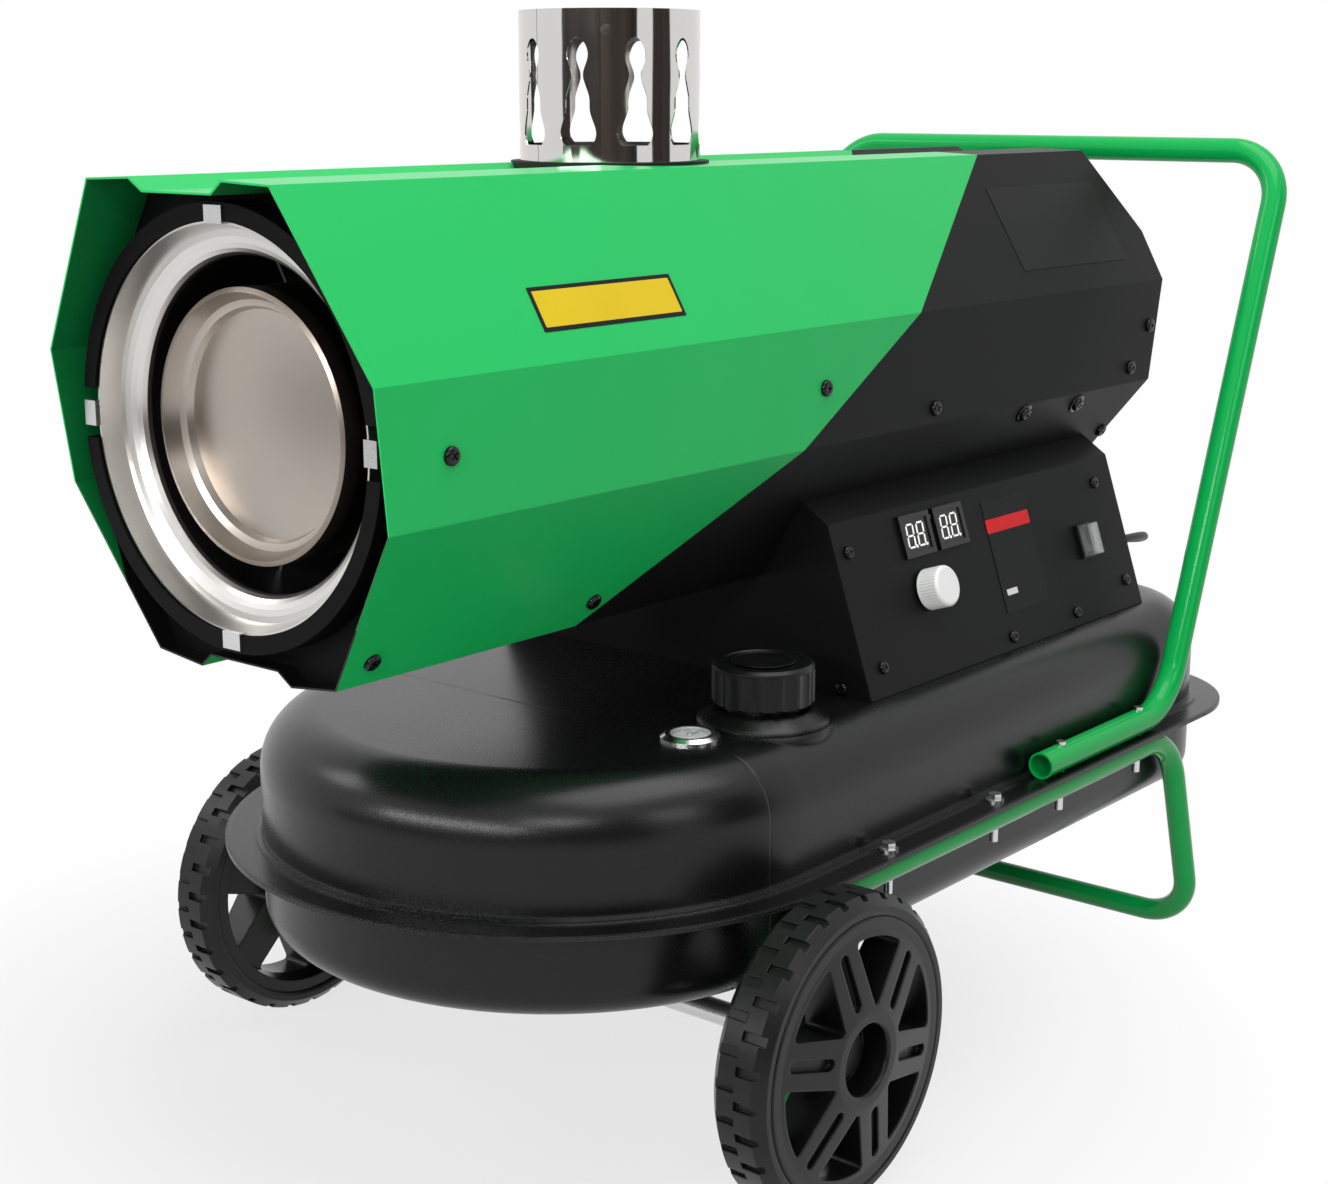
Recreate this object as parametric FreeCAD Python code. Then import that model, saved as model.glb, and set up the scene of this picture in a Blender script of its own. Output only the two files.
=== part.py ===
"""Indirect-fired oil heater on two wheels, in millimetres, outlet towards -Y, control panel on +X."""
import FreeCAD, Part
import math
import os
from FreeCAD import Vector as V

os.makedirs("parts", exist_ok=True)

# Sheet, tube and clearances
SHEET = 1.2
TANK_SHEET = 1.5
FRAME_TUBE_D = 18.0
HANDLE_TUBE_D = 20.0
TUBE_WALL = 1.6
SEAT_GAP = 0.3
RUN_GAP = 0.06
MOVE_GAP = 0.5
BOLT_D = 6.0
BOLT_GAP = 0.25
AROUND_Y = V(0, 1, 0)
UP = V(0, 0, 1)
SIDEWAYS = V(1, 0, 0)

# Casing section, measured from its long axis
CASING_Z = 495.5
SHOULDER_X = 78.3
ROOF_ROOM = 11.7
SIDE_ROOM = 11.4
SIDE_TUCK = 2.3
BELLY_ROOM = 16.4
SIDE_UP = 37.9
SIDE_DOWN = 42.8
RIDGE_X = 39.7
RIDGE_RISE = 1.5
RIDGE_H = 7.2
KEEL_H = 8.1
VALLEY_X = 29.3

# Casing seen from the side
MOUTH_LEAN = 7.0
REAR_TOP_Y = 846.0
REAR_KINK_Y = 882.0
REAR_KINK_UP = 75.7
REAR_SIDE_Y = 878.0
REAR_LOW_Y = 866.0
REAR_BELLY_Y = 808.0
TONE_Y = 455.0
TONE_LEAN = 58.7

# Outlet rings and heat exchanger
PLATE_Y = 34.0
PLATE_T = 1.5
COLLAR_Y = 14.0
OUTLET_R = 118.0
COLLAR_W = 11.0
CONE_W = 20.0
AIR_GAP = 17.5
OUTLET_Y = 16.0
OUTLET_BAND = 5.0
BAND_L = 12.8
RING_T = 1.2
THROAT_Y = 40.0
LINER_END_Y = 610.0
DRUM_Y = 32.0
DRUM_END_Y = 540.0
DRUM_WALL = 1.5
DISC_DEPTH = 15.0
DISC_EDGE = 13.5
FIRST_LEG_Y = 70.0
LAST_LEG_Y = 60.0
CLIP_W = 15.0
CLIP_T = 1.2
LEG_T = 2.0
LEG_W = 20.0

# Flue stub
FLUE_Y = 350.0
FLUE_R = 60.0
FLUE_WALL = 1.0
FLUE_UP = 104.5
FLUE_SINK = 11.5
RISER_LAP = 20.0
SLOT_TOP = 67.5
SLOT_COUNT = 10
SLOT_PHASE = 2.6
SLOT_LOW = 19.0
FLUE_HOLE_D = 6.6
FLUE_HOLE_DROP = 13.5
GASKET_W = 6.0
GASKET_H = 1.2

# Burner, motor and fan
BURNER_R = 44.0
BURNER_END_Y = 640.0
NOZZLE_R = 5.0
NOZZLE_L = 34.0
MOTOR_R = 43.0
MOTOR_Y = 664.0
MOTOR_L = 78.0
SHAFT_R = 6.0
FAN_Y = 762.0
FAN_R = 104.0
FAN_HUB_R = 22.0
FAN_HUB_L = 26.0
BLADE_COUNT = 5
BLADE_T = 1.5
BLADE_CHORD = 46.0
ROOT_PITCH = 48.0
TIP_PITCH = 24.0
REAR_PLATE_Y = 794.0
SHROUD_R = 109.0
SHROUD_L = 40.0
GUARD_RINGS = 5
GUARD_WIRE = 3.0
GUARD_SPOKES = 6

# Tank
FLANGE_Z = 195.0
FLANGE_HALF_W = 229.0
FLANGE_W = 25.0
FLANGE_STEP_W = 20.0
FLANGE_STEP_H = 0.8
TANK_FRONT_CENTRE_Y = 295.0
TANK_REAR_Y = 926.0
TANK_REAR_R = 110.0
TANK_UP = 84.7
TANK_DOWN = 64.0
TANK_SHOULDER_R = 40.0
TANK_BELLY_R = 22.0

# Filler and gauge on the tank
FILLER_X = 141.0
FILLER_Y = 338.0
NECK_R = 24.0
NECK_WALL = 2.5
NECK_UP = 33.3
NECK_DOWN = 6.0
COLLAR_FOOT_R = 44.0
COLLAR_TOP_R = 33.0
COLLAR_H = 9.0
BOSS_R = 46.0
CAP_R = 34.0
CAP_H = 27.0
CAP_TOP = 4.0
CAP_FLUTES = 16
FLUTE_DEPTH = 1.3
SEAL_H = 2.5
GAUGE_X = 131.0
GAUGE_Y = 274.0
GAUGE_R = 19.5
GAUGE_H = 3.6
DOME_R = 13.0
DOME_UP = 3.0
DOME_BEND_R = 35.0
GAUGE_SEAT_H = 1.2
STEM_R = 9.0
STEM_L = 34.0
FLOAT_ARM = 92.0
FLOAT_R = 13.0
FLOAT_L = 38.0
FLOAT_DROOP = 50.0
PIN_R = 1.6

# Cabinet and control panel
CAB_FRONT_Y = 419.0
CAB_REAR_Y = 807.0
PANEL_LOW_X = 172.6
PANEL_TOP_X = 133.3
PANEL_TOP_Z = 396.5
STRIP_X = 104.0
STRIP_Z = 416.0
PANEL_T = 1.5
WINDOW_EDGE = 7.0
DISPLAY_W = 34.0
DISPLAY_H = 27.0
DISPLAY_X = (98.0, 142.0)
DISPLAY_V = 102.0
DISPLAY_PROUD = 2.5
DISPLAY_DEEP = 14.0
BEZEL_EDGE = 2.0
KNOB_X = 95.5
KNOB_V = 62.0
KNOB_R = 15.0
KNOB_H = 17.0
KNOB_RIBS = 40
KNOB_RIB = 0.45
KNOB_ROUND = 3.0
SPINDLE_R = 3.0
POT_R = 11.0
POT_L = 16.0
SWITCH_X = 322.0
SWITCH_V = 62.0
SWITCH_W = 27.0
SWITCH_H = 20.0
SWITCH_PROUD = 3.0
SWITCH_DEEP = 22.0
ROCKER_W = 20.0
ROCKER_H = 11.0
ROCKER_TILT = 8.0
COVER_PROUD = 11.0
COVER_T = 1.2

# Parts inside the cabinet
TRAY_T = 1.5
TRAY_HALF_W = 138.0
TRANSFORMER_Y = 240.0
TRANSFORMER_X = -6.0
TRANSFORMER_W = 80.0
TRANSFORMER_L = 70.0
TRANSFORMER_H = 48.0
PUMP_Y = 108.0
PUMP_R = 20.0
PUMP_L = 74.0
PUMP_LIFT = 8.0
PUMP_FOOT_L = 50.0
PUMP_FOOT_W = 28.0
SNOUT_R = 6.0
SNOUT_L = 14.0
FILTER_Y = 54.0
FILTER_R = 17.0
FILTER_H = 46.0
FILTER_HEAD = 12.0
BOARD_Y = 50.0
BOARD_X = 51.0
BOARD_W = 82.0
BOARD_L = 120.0
BOARD_T = 1.6
BOARD_LIFT = 8.0
POST_R = 3.0
POST_IN = 6.0
CHIP_W = 26.0
CHIP_L = 34.0
CHIP_H = 13.0

# Frame, handle, axle and wheels
RAIL_X = 216.0
RAIL_BEND = 56.0
STAND_BEND = 42.0
STAND_CORNER_Y = 779.0
STAND_LEAN = 17.5
LEG_FOOT_Z = 49.0
HANDLE_FRONT_Y = 575.0
HANDLE_CORNER_Y = 768.0
HANDLE_TOP_Z = 636.0
HANDLE_LEAN = 20.5
HANDLE_BEND = 54.0
HANDLE_TOP_BEND = 44.0
RAIL_BOLT_Y = (378.0, 512.0)
HANDLE_BOLT_Y = (604.0, 724.0)
BOLT_END = 9.0
HEAD_R = 5.0
HEAD_H = 4.0
WASHER_R = 6.5
WASHER_T = 1.4
AXLE_Y = 268.0
AXLE_R = 8.0
WHEEL_R = 102.0
WHEEL_OUT_X = 270.0
WHEEL_W = 39.0
TYRE_T = 13.0
RIM_WALL = 12.0
HUB_R = 31.0
HUB_SINK_R = 23.0
HUB_SINK = 20.0
HUB_OUT = 7.0
RIM_FACE_W = 8.0
SPOKE_COUNT = 6
SPOKE_W = 29.0
SPOKE_T = 24.0
SPOKE_SLOT_W = 8.0
SPOKE_SLOT_L = 32.0
SPOKE_SLOT_D = 5.0
TREAD_ROWS = 30
TREAD_CUT_W = 6.0
TREAD_CUT_D = 3.2
TYRE_CHAMFER = 7.0
RETAINER_R = 14.0
RETAINER_T = 4.0
RETAINER_END = 2.0
SPACER_R = 13.0

# Mains lead
CORD_D = 7.0
GLAND_X = 134.0
GLAND_Z = 321.0
GLAND_L = 24.0
GLAND_R = 9.0
GLAND_FLANGE = 3.0
COIL_X = -179.0
COIL_Y = 911.0
COIL_TURNS = 2
COIL_R = 46.0
COIL_GAP = 0.7
TIE_T = 1.2
TIE_W = 12.0
PLUG_R = 19.0
PLUG_L = 34.0
PIN_L = 19.0
PIN_D = 4.8
PIN_SPREAD = 19.0

# Lengths that follow from the sizes above
FRAME_R = FRAME_TUBE_D / 2
HANDLE_R = HANDLE_TUBE_D / 2
RIM_R = WHEEL_R - TYRE_T
COLLAR_R = OUTLET_R + COLLAR_W
THROAT_R = OUTLET_R - CONE_W
DRUM_R = THROAT_R - AIR_GAP
DISC_R = DRUM_R - DISC_EDGE
SIDE_X = COLLAR_R + SIDE_ROOM
SIDE_LOW_X = SIDE_X - SIDE_TUCK
SHOULDER_UP = COLLAR_R + ROOF_ROOM
RIDGE_UP = SHOULDER_UP + RIDGE_RISE
VALLEY_UP = RIDGE_UP - RIDGE_H
RIDGE_DOWN = COLLAR_R + BELLY_ROOM
VALLEY_DOWN = RIDGE_DOWN - KEEL_H
CASING_TOP_Z = CASING_Z + RIDGE_UP
CASING_LOW_Z = CASING_Z - RIDGE_DOWN
SEAM_Z = CASING_Z - SIDE_DOWN
MOUTH_Z = CASING_Z + SIDE_UP
VALLEY_Z = CASING_Z + VALLEY_UP
FLUE_TOP_Z = VALLEY_Z + FLUE_UP
FLUE_FOOT_Z = VALLEY_Z - FLUE_SINK
BELLY_Z = CASING_Z - VALLEY_DOWN + SHEET
TANK_TOP_Z = FLANGE_Z + TANK_UP
FLANGE_LOW_Z = FLANGE_Z - 2 * TANK_SHEET
RAIL_Z = FLANGE_LOW_Z - FRAME_R
HANDLE_Z = FLANGE_Z + HANDLE_R
LINER_R = OUTLET_R + SEAT_GAP + SHEET
HANDLE_TOP_Y = HANDLE_CORNER_Y + (HANDLE_TOP_Z - HANDLE_Z) * math.tan(math.radians(HANDLE_LEAN))
STAND_FOOT_Y = STAND_CORNER_Y + (RAIL_Z - FRAME_R) * math.tan(math.radians(STAND_LEAN))
FRONT_Y = -(CASING_TOP_Z - MOUTH_Z) * math.tan(math.radians(MOUTH_LEAN))
BACK_Y = HANDLE_TOP_Y + HANDLE_R
REACH = BACK_Y - FRONT_Y
MIDDLE_Y = (FRONT_Y + BACK_Y) / 2
CAB_L = CAB_REAR_Y - CAB_FRONT_Y
SHOULDER_RUN = PANEL_LOW_X - (FLANGE_HALF_W - FLANGE_W - TANK_SHOULDER_R)
SHOULDER_DROP = TANK_SHOULDER_R - math.sqrt(TANK_SHOULDER_R ** 2 - SHOULDER_RUN ** 2)
PANEL_LOW_Z = TANK_TOP_Z - SHOULDER_DROP + SEAT_GAP
PANEL_H = math.hypot(PANEL_LOW_X - PANEL_TOP_X, PANEL_TOP_Z - PANEL_LOW_Z)
SLOPE_V = V(PANEL_TOP_X - PANEL_LOW_X, 0, PANEL_TOP_Z - PANEL_LOW_Z).normalize()
SLOPE_N = AROUND_Y.cross(SLOPE_V)
PANEL_FRAME = FreeCAD.Placement(V(PANEL_LOW_X, CAB_FRONT_Y, PANEL_LOW_Z),
                                FreeCAD.Rotation(AROUND_Y, SLOPE_V, SLOPE_N, "XYZ"))


def save(node, shape):
    """Write one sub-part with the middle of the object's length at Y = 0."""
    moved = shape.removeSplitter()
    moved.translate(V(0, -MIDDLE_Y, 0))
    moved.exportStep("parts/" + node + ".step")


def fuse(shapes):
    """Join a list of touching solids into one."""
    first = shapes[0]
    return first.fuse(shapes[1:]) if len(shapes) > 1 else first


def box(x0, x1, y0, y1, z0, z1):
    """Block between two corners."""
    return Part.makeBox(x1 - x0, y1 - y0, z1 - z0, V(x0, y0, z0))


def rod(radius, length, base, axis):
    """Round bar from a base point along an axis."""
    return Part.makeCylinder(radius, length, base, axis)


def ring(outer, inner, length, base, axis):
    """Round bar with a through bore."""
    return rod(outer, length, base, axis).cut(rod(inner, length, base, axis))


def polygon(points):
    """Closed flat face through points."""
    return Part.Face(Part.makePolygon(points + points[:1]))


def turned_y(points):
    """Solid turned about the casing axis from (radius, y) points."""
    face = polygon([V(r, y, CASING_Z) for r, y in points])
    return face.revolve(V(0, 0, CASING_Z), AROUND_Y, 360)


def turned_z(points, x, y):
    """Solid turned about an upright axis from (radius, z) points."""
    face = polygon([V(x + r, y, z) for r, z in points])
    return face.revolve(V(x, y, 0), UP, 360)


def turned_x(points):
    """Solid turned about the wheel axle from (x, radius) points."""
    face = polygon([V(x, AXLE_Y, WHEEL_R + r) for x, r in points])
    return face.revolve(V(0, AXLE_Y, WHEEL_R), SIDEWAYS, 360)


def side_prism(points):
    """Wide block whose side view has the given (y, z) corners."""
    face = polygon([V(-REACH, y, z) for y, z in points])
    return face.extrude(V(2 * REACH, 0, 0))


def mirrored(shape):
    """Copy on the other side of the middle plane."""
    return shape.mirror(V(0, 0, 0), SIDEWAYS)


def on_panel(shape):
    """Place a shape drawn as along, up-slope and outward on the control panel."""
    placed = shape.copy()
    placed.Placement = PANEL_FRAME.multiply(placed.Placement)
    return placed


def upright(shape):
    """Turn a shape drawn along the panel upright about the middle of the switch."""
    turned = shape.copy()
    turned.rotate(V(SWITCH_X, SWITCH_V, 0), UP, 90)
    return turned


def on_switch(shape):
    """Place a shape of the upright switch on the control panel."""
    return on_panel(upright(shape))


def bent_wire(points, bends):
    """Path of straight runs with a tangent arc at each inner corner."""
    edges = []
    start = points[0]
    for before, corner, after, bend in zip(points, points[1:], points[2:], bends):
        back = (before - corner).normalize()
        ahead = (after - corner).normalize()
        half = back.getAngle(ahead) / 2
        reach = bend / math.tan(half)
        middle = (back + ahead).normalize() * (bend / math.sin(half) - bend)
        arc = Part.Arc(corner + back * reach, corner + middle, corner + ahead * reach)
        edges.append(Part.LineSegment(start, corner + back * reach).toShape())
        edges.append(arc.toShape())
        start = corner + ahead * reach
    edges.append(Part.LineSegment(start, points[-1]).toShape())
    return Part.Wire(edges)


def swept(path, radius):
    """Round bar along a path."""
    first = path.Edges[0]
    heading = first.tangentAt(first.FirstParameter)
    profile = Part.Wire(Part.makeCircle(radius, first.valueAt(first.FirstParameter), heading))
    return path.makePipeShell([profile], True, False)


def round_face(centre, heading, outer, inner):
    """Disc or ring across a path."""
    disc = Part.Face(Part.Wire(Part.makeCircle(outer, centre, heading)))
    if inner:
        return disc.cut(Part.Face(Part.Wire(Part.makeCircle(inner, centre, heading))))
    return disc


def bent_bar(path, outer, inner=0.0):
    """Bar or open tube along straight runs and arcs, one cylinder or torus piece for each."""
    pieces = []
    for edge in path.Edges:
        start = edge.valueAt(edge.FirstParameter)
        section = round_face(start, edge.tangentAt(edge.FirstParameter), outer, inner)
        if isinstance(edge.Curve, Part.Circle):
            turn = math.degrees(edge.LastParameter - edge.FirstParameter)
            pieces.append(section.revolve(edge.Curve.Center, edge.Curve.Axis, turn))
        else:
            pieces.append(section.extrude(edge.valueAt(edge.LastParameter) - start))
    return fuse(pieces)


def bent_tube(points, bends, radius):
    """Bent steel tube with open ends."""
    return bent_bar(bent_wire(points, bends), radius, radius - TUBE_WALL)


# Casing
def casing_face(inset):
    """Eight-sided section with two ridges and a valley at top and bottom."""
    right = [(VALLEY_X, VALLEY_UP), (RIDGE_X, RIDGE_UP), (SHOULDER_X, SHOULDER_UP), (SIDE_X, SIDE_UP),
             (SIDE_LOW_X, -SIDE_DOWN), (SHOULDER_X, -SHOULDER_UP), (RIDGE_X, -RIDGE_DOWN), (VALLEY_X, -VALLEY_DOWN)]
    left = [(-x, up) for x, up in reversed(right)]
    face = polygon([V(x, 0, CASING_Z + up) for x, up in right + left])
    return face.makeOffset2D(-inset, 2) if inset else face


def casing_block(inset, y0, y1):
    """Filled casing between two stations along its length."""
    face = casing_face(inset)
    face.translate(V(0, y0, 0))
    return face.extrude(V(0, y1 - y0, 0))


def mouth_y(z):
    """Front edge of the leaning mouth at a height."""
    return (MOUTH_Z - z) * math.tan(math.radians(MOUTH_LEAN))


def tone_y(z):
    """Diagonal joint between the front and rear panels at a height."""
    return TONE_Y + (z - CASING_Z) * math.tan(math.radians(TONE_LEAN))


flue_hole = rod(FLUE_R + SEAT_GAP, REACH, V(0, FLUE_Y, CASING_Z), UP)
casing_tube = casing_block(0, -REACH, 1000).cut(casing_block(SHEET, -REACH, 1000))
casing_fill = casing_block(0, -REACH, 1000)
mouth_top = (mouth_y(CASING_TOP_Z), CASING_TOP_Z)
mouth_seam = (mouth_y(SEAM_Z), SEAM_Z)
mouth_low = (mouth_y(CASING_LOW_Z), CASING_LOW_Z)
tone_top = (tone_y(CASING_TOP_Z), CASING_TOP_Z)
tone_seam = (tone_y(SEAM_Z), SEAM_Z)
tone_low = (tone_y(CASING_LOW_Z), CASING_LOW_Z)
rear_seam = (REAR_LOW_Y, SEAM_Z)
rear_top = [(REAR_SIDE_Y, MOUTH_Z), (REAR_KINK_Y, CASING_Z + REAR_KINK_UP), (REAR_TOP_Y, CASING_TOP_Z)]
belly_slot = box(-20, 20, BURNER_END_Y - 42, BURNER_END_Y - 12, CASING_LOW_Z - 20, CASING_Z - 100)
casing_upper_front = casing_tube.common(side_prism([mouth_seam, tone_seam, tone_top, mouth_top]))
casing_lower_front = casing_tube.common(side_prism([mouth_low, tone_low, tone_seam, mouth_seam]))
casing_upper_rear = casing_tube.common(side_prism([tone_seam, rear_seam] + rear_top + [tone_top]))
casing_lower_rear = casing_tube.common(side_prism([tone_low, (REAR_BELLY_Y, CASING_LOW_Z), rear_seam, tone_seam]))
save("casing_upper_front", casing_upper_front.cut(flue_hole))
save("casing_lower_front", casing_lower_front)
save("casing_upper_rear", casing_upper_rear)
save("casing_lower_rear", casing_lower_rear.cut(belly_slot))


# Outlet
def notch(angle, radius, width):
    """Radial block that opens a gap in the collar."""
    block = box(radius - 16, radius + 16, 0, PLATE_Y, CASING_Z - width / 2, CASING_Z + width / 2)
    block.rotate(V(0, 0, CASING_Z), AROUND_Y, angle)
    return block


liner_bore = rod(LINER_R + SEAT_GAP, 2 * REACH, V(0, 0, CASING_Z), AROUND_Y)
collar = turned_y([(OUTLET_R + MOVE_GAP, COLLAR_Y), (COLLAR_R, COLLAR_Y), (COLLAR_R, PLATE_Y + PLATE_T / 2),
                   (COLLAR_R - PLATE_T, PLATE_Y + PLATE_T / 2), (COLLAR_R - PLATE_T, COLLAR_Y + PLATE_T),
                   (OUTLET_R + MOVE_GAP, COLLAR_Y + PLATE_T)])
plate = casing_block(SHEET, PLATE_Y, PLATE_Y + PLATE_T).cut(liner_bore)
collar = collar.cut([notch(0, COLLAR_R, 2 * CLIP_W), notch(180, COLLAR_R, 2 * CLIP_W)])
save("front_plate", plate.fuse(collar))

band_r = OUTLET_R - OUTLET_BAND
band_y = OUTLET_Y + BAND_L
bell_front = []
bell_back = []
for degrees in range(0, 91, 15):
    out = math.cos(math.radians(degrees))
    back = math.sin(math.radians(degrees))
    r = THROAT_R + (band_r - THROAT_R) * (1 - back)
    y = band_y + (THROAT_Y - band_y) * (1 - out)
    bell_front.append((r, y))
    bell_back.append((r + RING_T * back, y + RING_T * out))
outlet_profile = [(OUTLET_R, OUTLET_Y), (OUTLET_R, PLATE_Y + 8), (OUTLET_R - 1, PLATE_Y + 8),
                  (OUTLET_R - 1, band_y + RING_T)] + bell_back + bell_front[::-1] + [(OUTLET_R - RING_T, OUTLET_Y)]
save("outlet_ring", turned_y(outlet_profile))

clips = []
for quarter in range(4):
    clip = box(-CLIP_W / 2, CLIP_W / 2, COLLAR_Y - CLIP_T, COLLAR_Y, OUTLET_R - RING_T, COLLAR_R - 2)
    hook = box(-CLIP_W / 2, CLIP_W / 2, COLLAR_Y - CLIP_T, OUTLET_Y, OUTLET_R - RING_T, OUTLET_R)
    clip = clip.fuse(hook)
    clip.translate(V(0, 0, CASING_Z))
    clip.rotate(V(0, 0, CASING_Z), AROUND_Y, 90 * quarter)
    clips.append(clip)
save("outlet_clips", Part.makeCompound(clips))

liner = ring(LINER_R, LINER_R - SHEET, LINER_END_Y - PLATE_Y, V(0, PLATE_Y, CASING_Z), AROUND_Y)
baffle = casing_block(SHEET, LINER_END_Y - PLATE_T, LINER_END_Y)
save("air_baffle", baffle.cut(rod(LINER_R, 2 * REACH, V(0, 0, CASING_Z), AROUND_Y)))
save("air_liner", liner.cut(flue_hole))

drum_back = turned_y([(BURNER_R + SEAT_GAP, DRUM_END_Y - DRUM_WALL), (DRUM_R, DRUM_END_Y - DRUM_WALL),
                      (DRUM_R, DRUM_END_Y), (BURNER_R + SEAT_GAP, DRUM_END_Y)])
drum = ring(DRUM_R, DRUM_R - DRUM_WALL, DRUM_END_Y - DRUM_Y - 12, V(0, DRUM_Y + 12, CASING_Z), AROUND_Y)
riser_r = FLUE_R - FLUE_WALL - SEAT_GAP
riser = rod(riser_r, FLUE_FOOT_Z + RISER_LAP - CASING_Z, V(0, FLUE_Y, CASING_Z), UP)
riser_bore = rod(riser_r - DRUM_WALL, REACH, V(0, FLUE_Y, CASING_Z), UP)
drum_bore = rod(DRUM_R - DRUM_WALL, DRUM_END_Y - DRUM_Y - DRUM_WALL, V(0, DRUM_Y, CASING_Z), AROUND_Y)
save("chamber_drum", drum.fuse(drum_back).cut([riser_bore, drum_bore]))
drum_fill = rod(DRUM_R, DRUM_END_Y, V(0, 0, CASING_Z), AROUND_Y)
save("flue_riser", riser.cut([riser_bore, drum_fill]))

cap_in = DRUM_R - DRUM_WALL - SEAT_GAP
end_cap = turned_y([(0, DRUM_Y + DISC_DEPTH), (DISC_R, DRUM_Y + DISC_DEPTH), (DISC_R + 2, DRUM_Y + DISC_DEPTH - 4),
                    (DISC_R + 6, DRUM_Y + DISC_DEPTH - 6), (DRUM_R - 3, DRUM_Y), (DRUM_R, DRUM_Y + 1),
                    (DRUM_R, DRUM_Y + 12), (cap_in, DRUM_Y + 12), (cap_in, DRUM_Y + 22),
                    (cap_in - 1, DRUM_Y + 22), (cap_in - 1, DRUM_Y + 5), (DISC_R + 7, DRUM_Y + DISC_DEPTH - 4),
                    (DISC_R + 1, DRUM_Y + DISC_DEPTH + 1.5), (0, DRUM_Y + DISC_DEPTH + 1.5)])
save("drum_end_cap", end_cap)

legs = []
for station in (DRUM_Y + FIRST_LEG_Y, DRUM_END_Y - LAST_LEG_Y):
    for angle in (90, 210, 330):
        leg = box(-LEG_T / 2, LEG_T / 2, station, station + LEG_W, DRUM_R, LINER_R - SHEET)
        leg.translate(V(0, 0, CASING_Z))
        leg.rotate(V(0, 0, CASING_Z), AROUND_Y, angle)
        legs.append(leg)
liner_space = rod(LINER_R - SHEET, 2 * REACH, V(0, 0, CASING_Z), AROUND_Y)
drum_space = rod(DRUM_R, 2 * REACH, V(0, 0, CASING_Z), AROUND_Y)
save("drum_supports", Part.makeCompound([leg.common(liner_space).cut(drum_space) for leg in legs]))

# Flue stub with wavy slots
def slot_outline():
    """Half widths up one slot, as (height, half width)."""
    return [(0, 9.0), (9, 12.2), (22, 8.3), (30, 8.0), (45, 4.0), (58, 7.2)]



def slot_cutter():
    """Slot drawn flat at the +X side of the stub and pushed outward."""
    base = VALLEY_Z + SLOT_LOW
    inside = FLUE_R - 12
    right = [V(inside, w, base + h) for h, w in slot_outline()]
    left = [V(inside, -w, base + h) for h, w in slot_outline()]
    curve = Part.BSplineCurve()
    curve.interpolate(right + [V(inside, 0, base + SLOT_TOP)] + left[::-1])
    outline = Part.Wire([curve.toShape(), Part.makeLine(left[0], right[0])])
    return Part.Face(outline).extrude(V(24, 0, 0))


flue = ring(FLUE_R, FLUE_R - FLUE_WALL, FLUE_TOP_Z - FLUE_FOOT_Z, V(0, 0, FLUE_FOOT_Z), UP)
cutters = []
for index in range(SLOT_COUNT):
    cutter = slot_cutter()
    cutter.rotate(V(0, 0, 0), UP, SLOT_PHASE + index * 360 / SLOT_COUNT)
    cutters.append(cutter)
hole = rod(FLUE_HOLE_D / 2, 2 * FLUE_R, V(0, 0, FLUE_TOP_Z - FLUE_HOLE_DROP), SIDEWAYS)
hole.rotate(V(0, 0, 0), UP, SLOT_PHASE - 1.5 * 360 / SLOT_COUNT)
flue = flue.cut(cutters + [hole])
flue.translate(V(0, FLUE_Y, 0))
save("flue_stub", flue)

gasket_top = CASING_TOP_Z + GASKET_H
gasket = ring(FLUE_R + GASKET_W, FLUE_R + SEAT_GAP, gasket_top - CASING_Z, V(0, FLUE_Y, CASING_Z), UP)
save("flue_gasket", gasket.cut(casing_fill))

# Burner
burner_tail = BURNER_END_Y - DRUM_END_Y
burner = ring(BURNER_R, BURNER_R - DRUM_WALL, burner_tail + 30, V(0, DRUM_END_Y - 30, CASING_Z), AROUND_Y)
burner_end = rod(BURNER_R, 3, V(0, BURNER_END_Y - 3, CASING_Z), AROUND_Y)
nozzle_bore = rod(NOZZLE_R + SEAT_GAP, 40, V(0, BURNER_END_Y - 20, CASING_Z), AROUND_Y)
electrode_x = 22.0
electrode_r = 4.0
electrode_up = 12.0
electrode_bores = [rod(electrode_r + SEAT_GAP, 40, V(s * electrode_x, BURNER_END_Y - 20, CASING_Z + electrode_up),
                       AROUND_Y) for s in (-1, 1)]
photocell_r = 6.0
photocell_down = 26.0
photocell_bore = rod(photocell_r + SEAT_GAP, 40, V(0, BURNER_END_Y - 20, CASING_Z - photocell_down), AROUND_Y)
save("burner_tube", burner.fuse(burner_end).cut([nozzle_bore, photocell_bore] + electrode_bores))

holder_head = rod(NOZZLE_R + 4, 8, V(0, BURNER_END_Y, CASING_Z), AROUND_Y)
holder_stem = rod(NOZZLE_R, NOZZLE_L, V(0, BURNER_END_Y - NOZZLE_L, CASING_Z), AROUND_Y)
tip = Part.makeCone(2, NOZZLE_R, 8, V(0, BURNER_END_Y - NOZZLE_L - 8, CASING_Z), AROUND_Y)
save("nozzle", fuse([holder_head, holder_stem, tip]))

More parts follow.
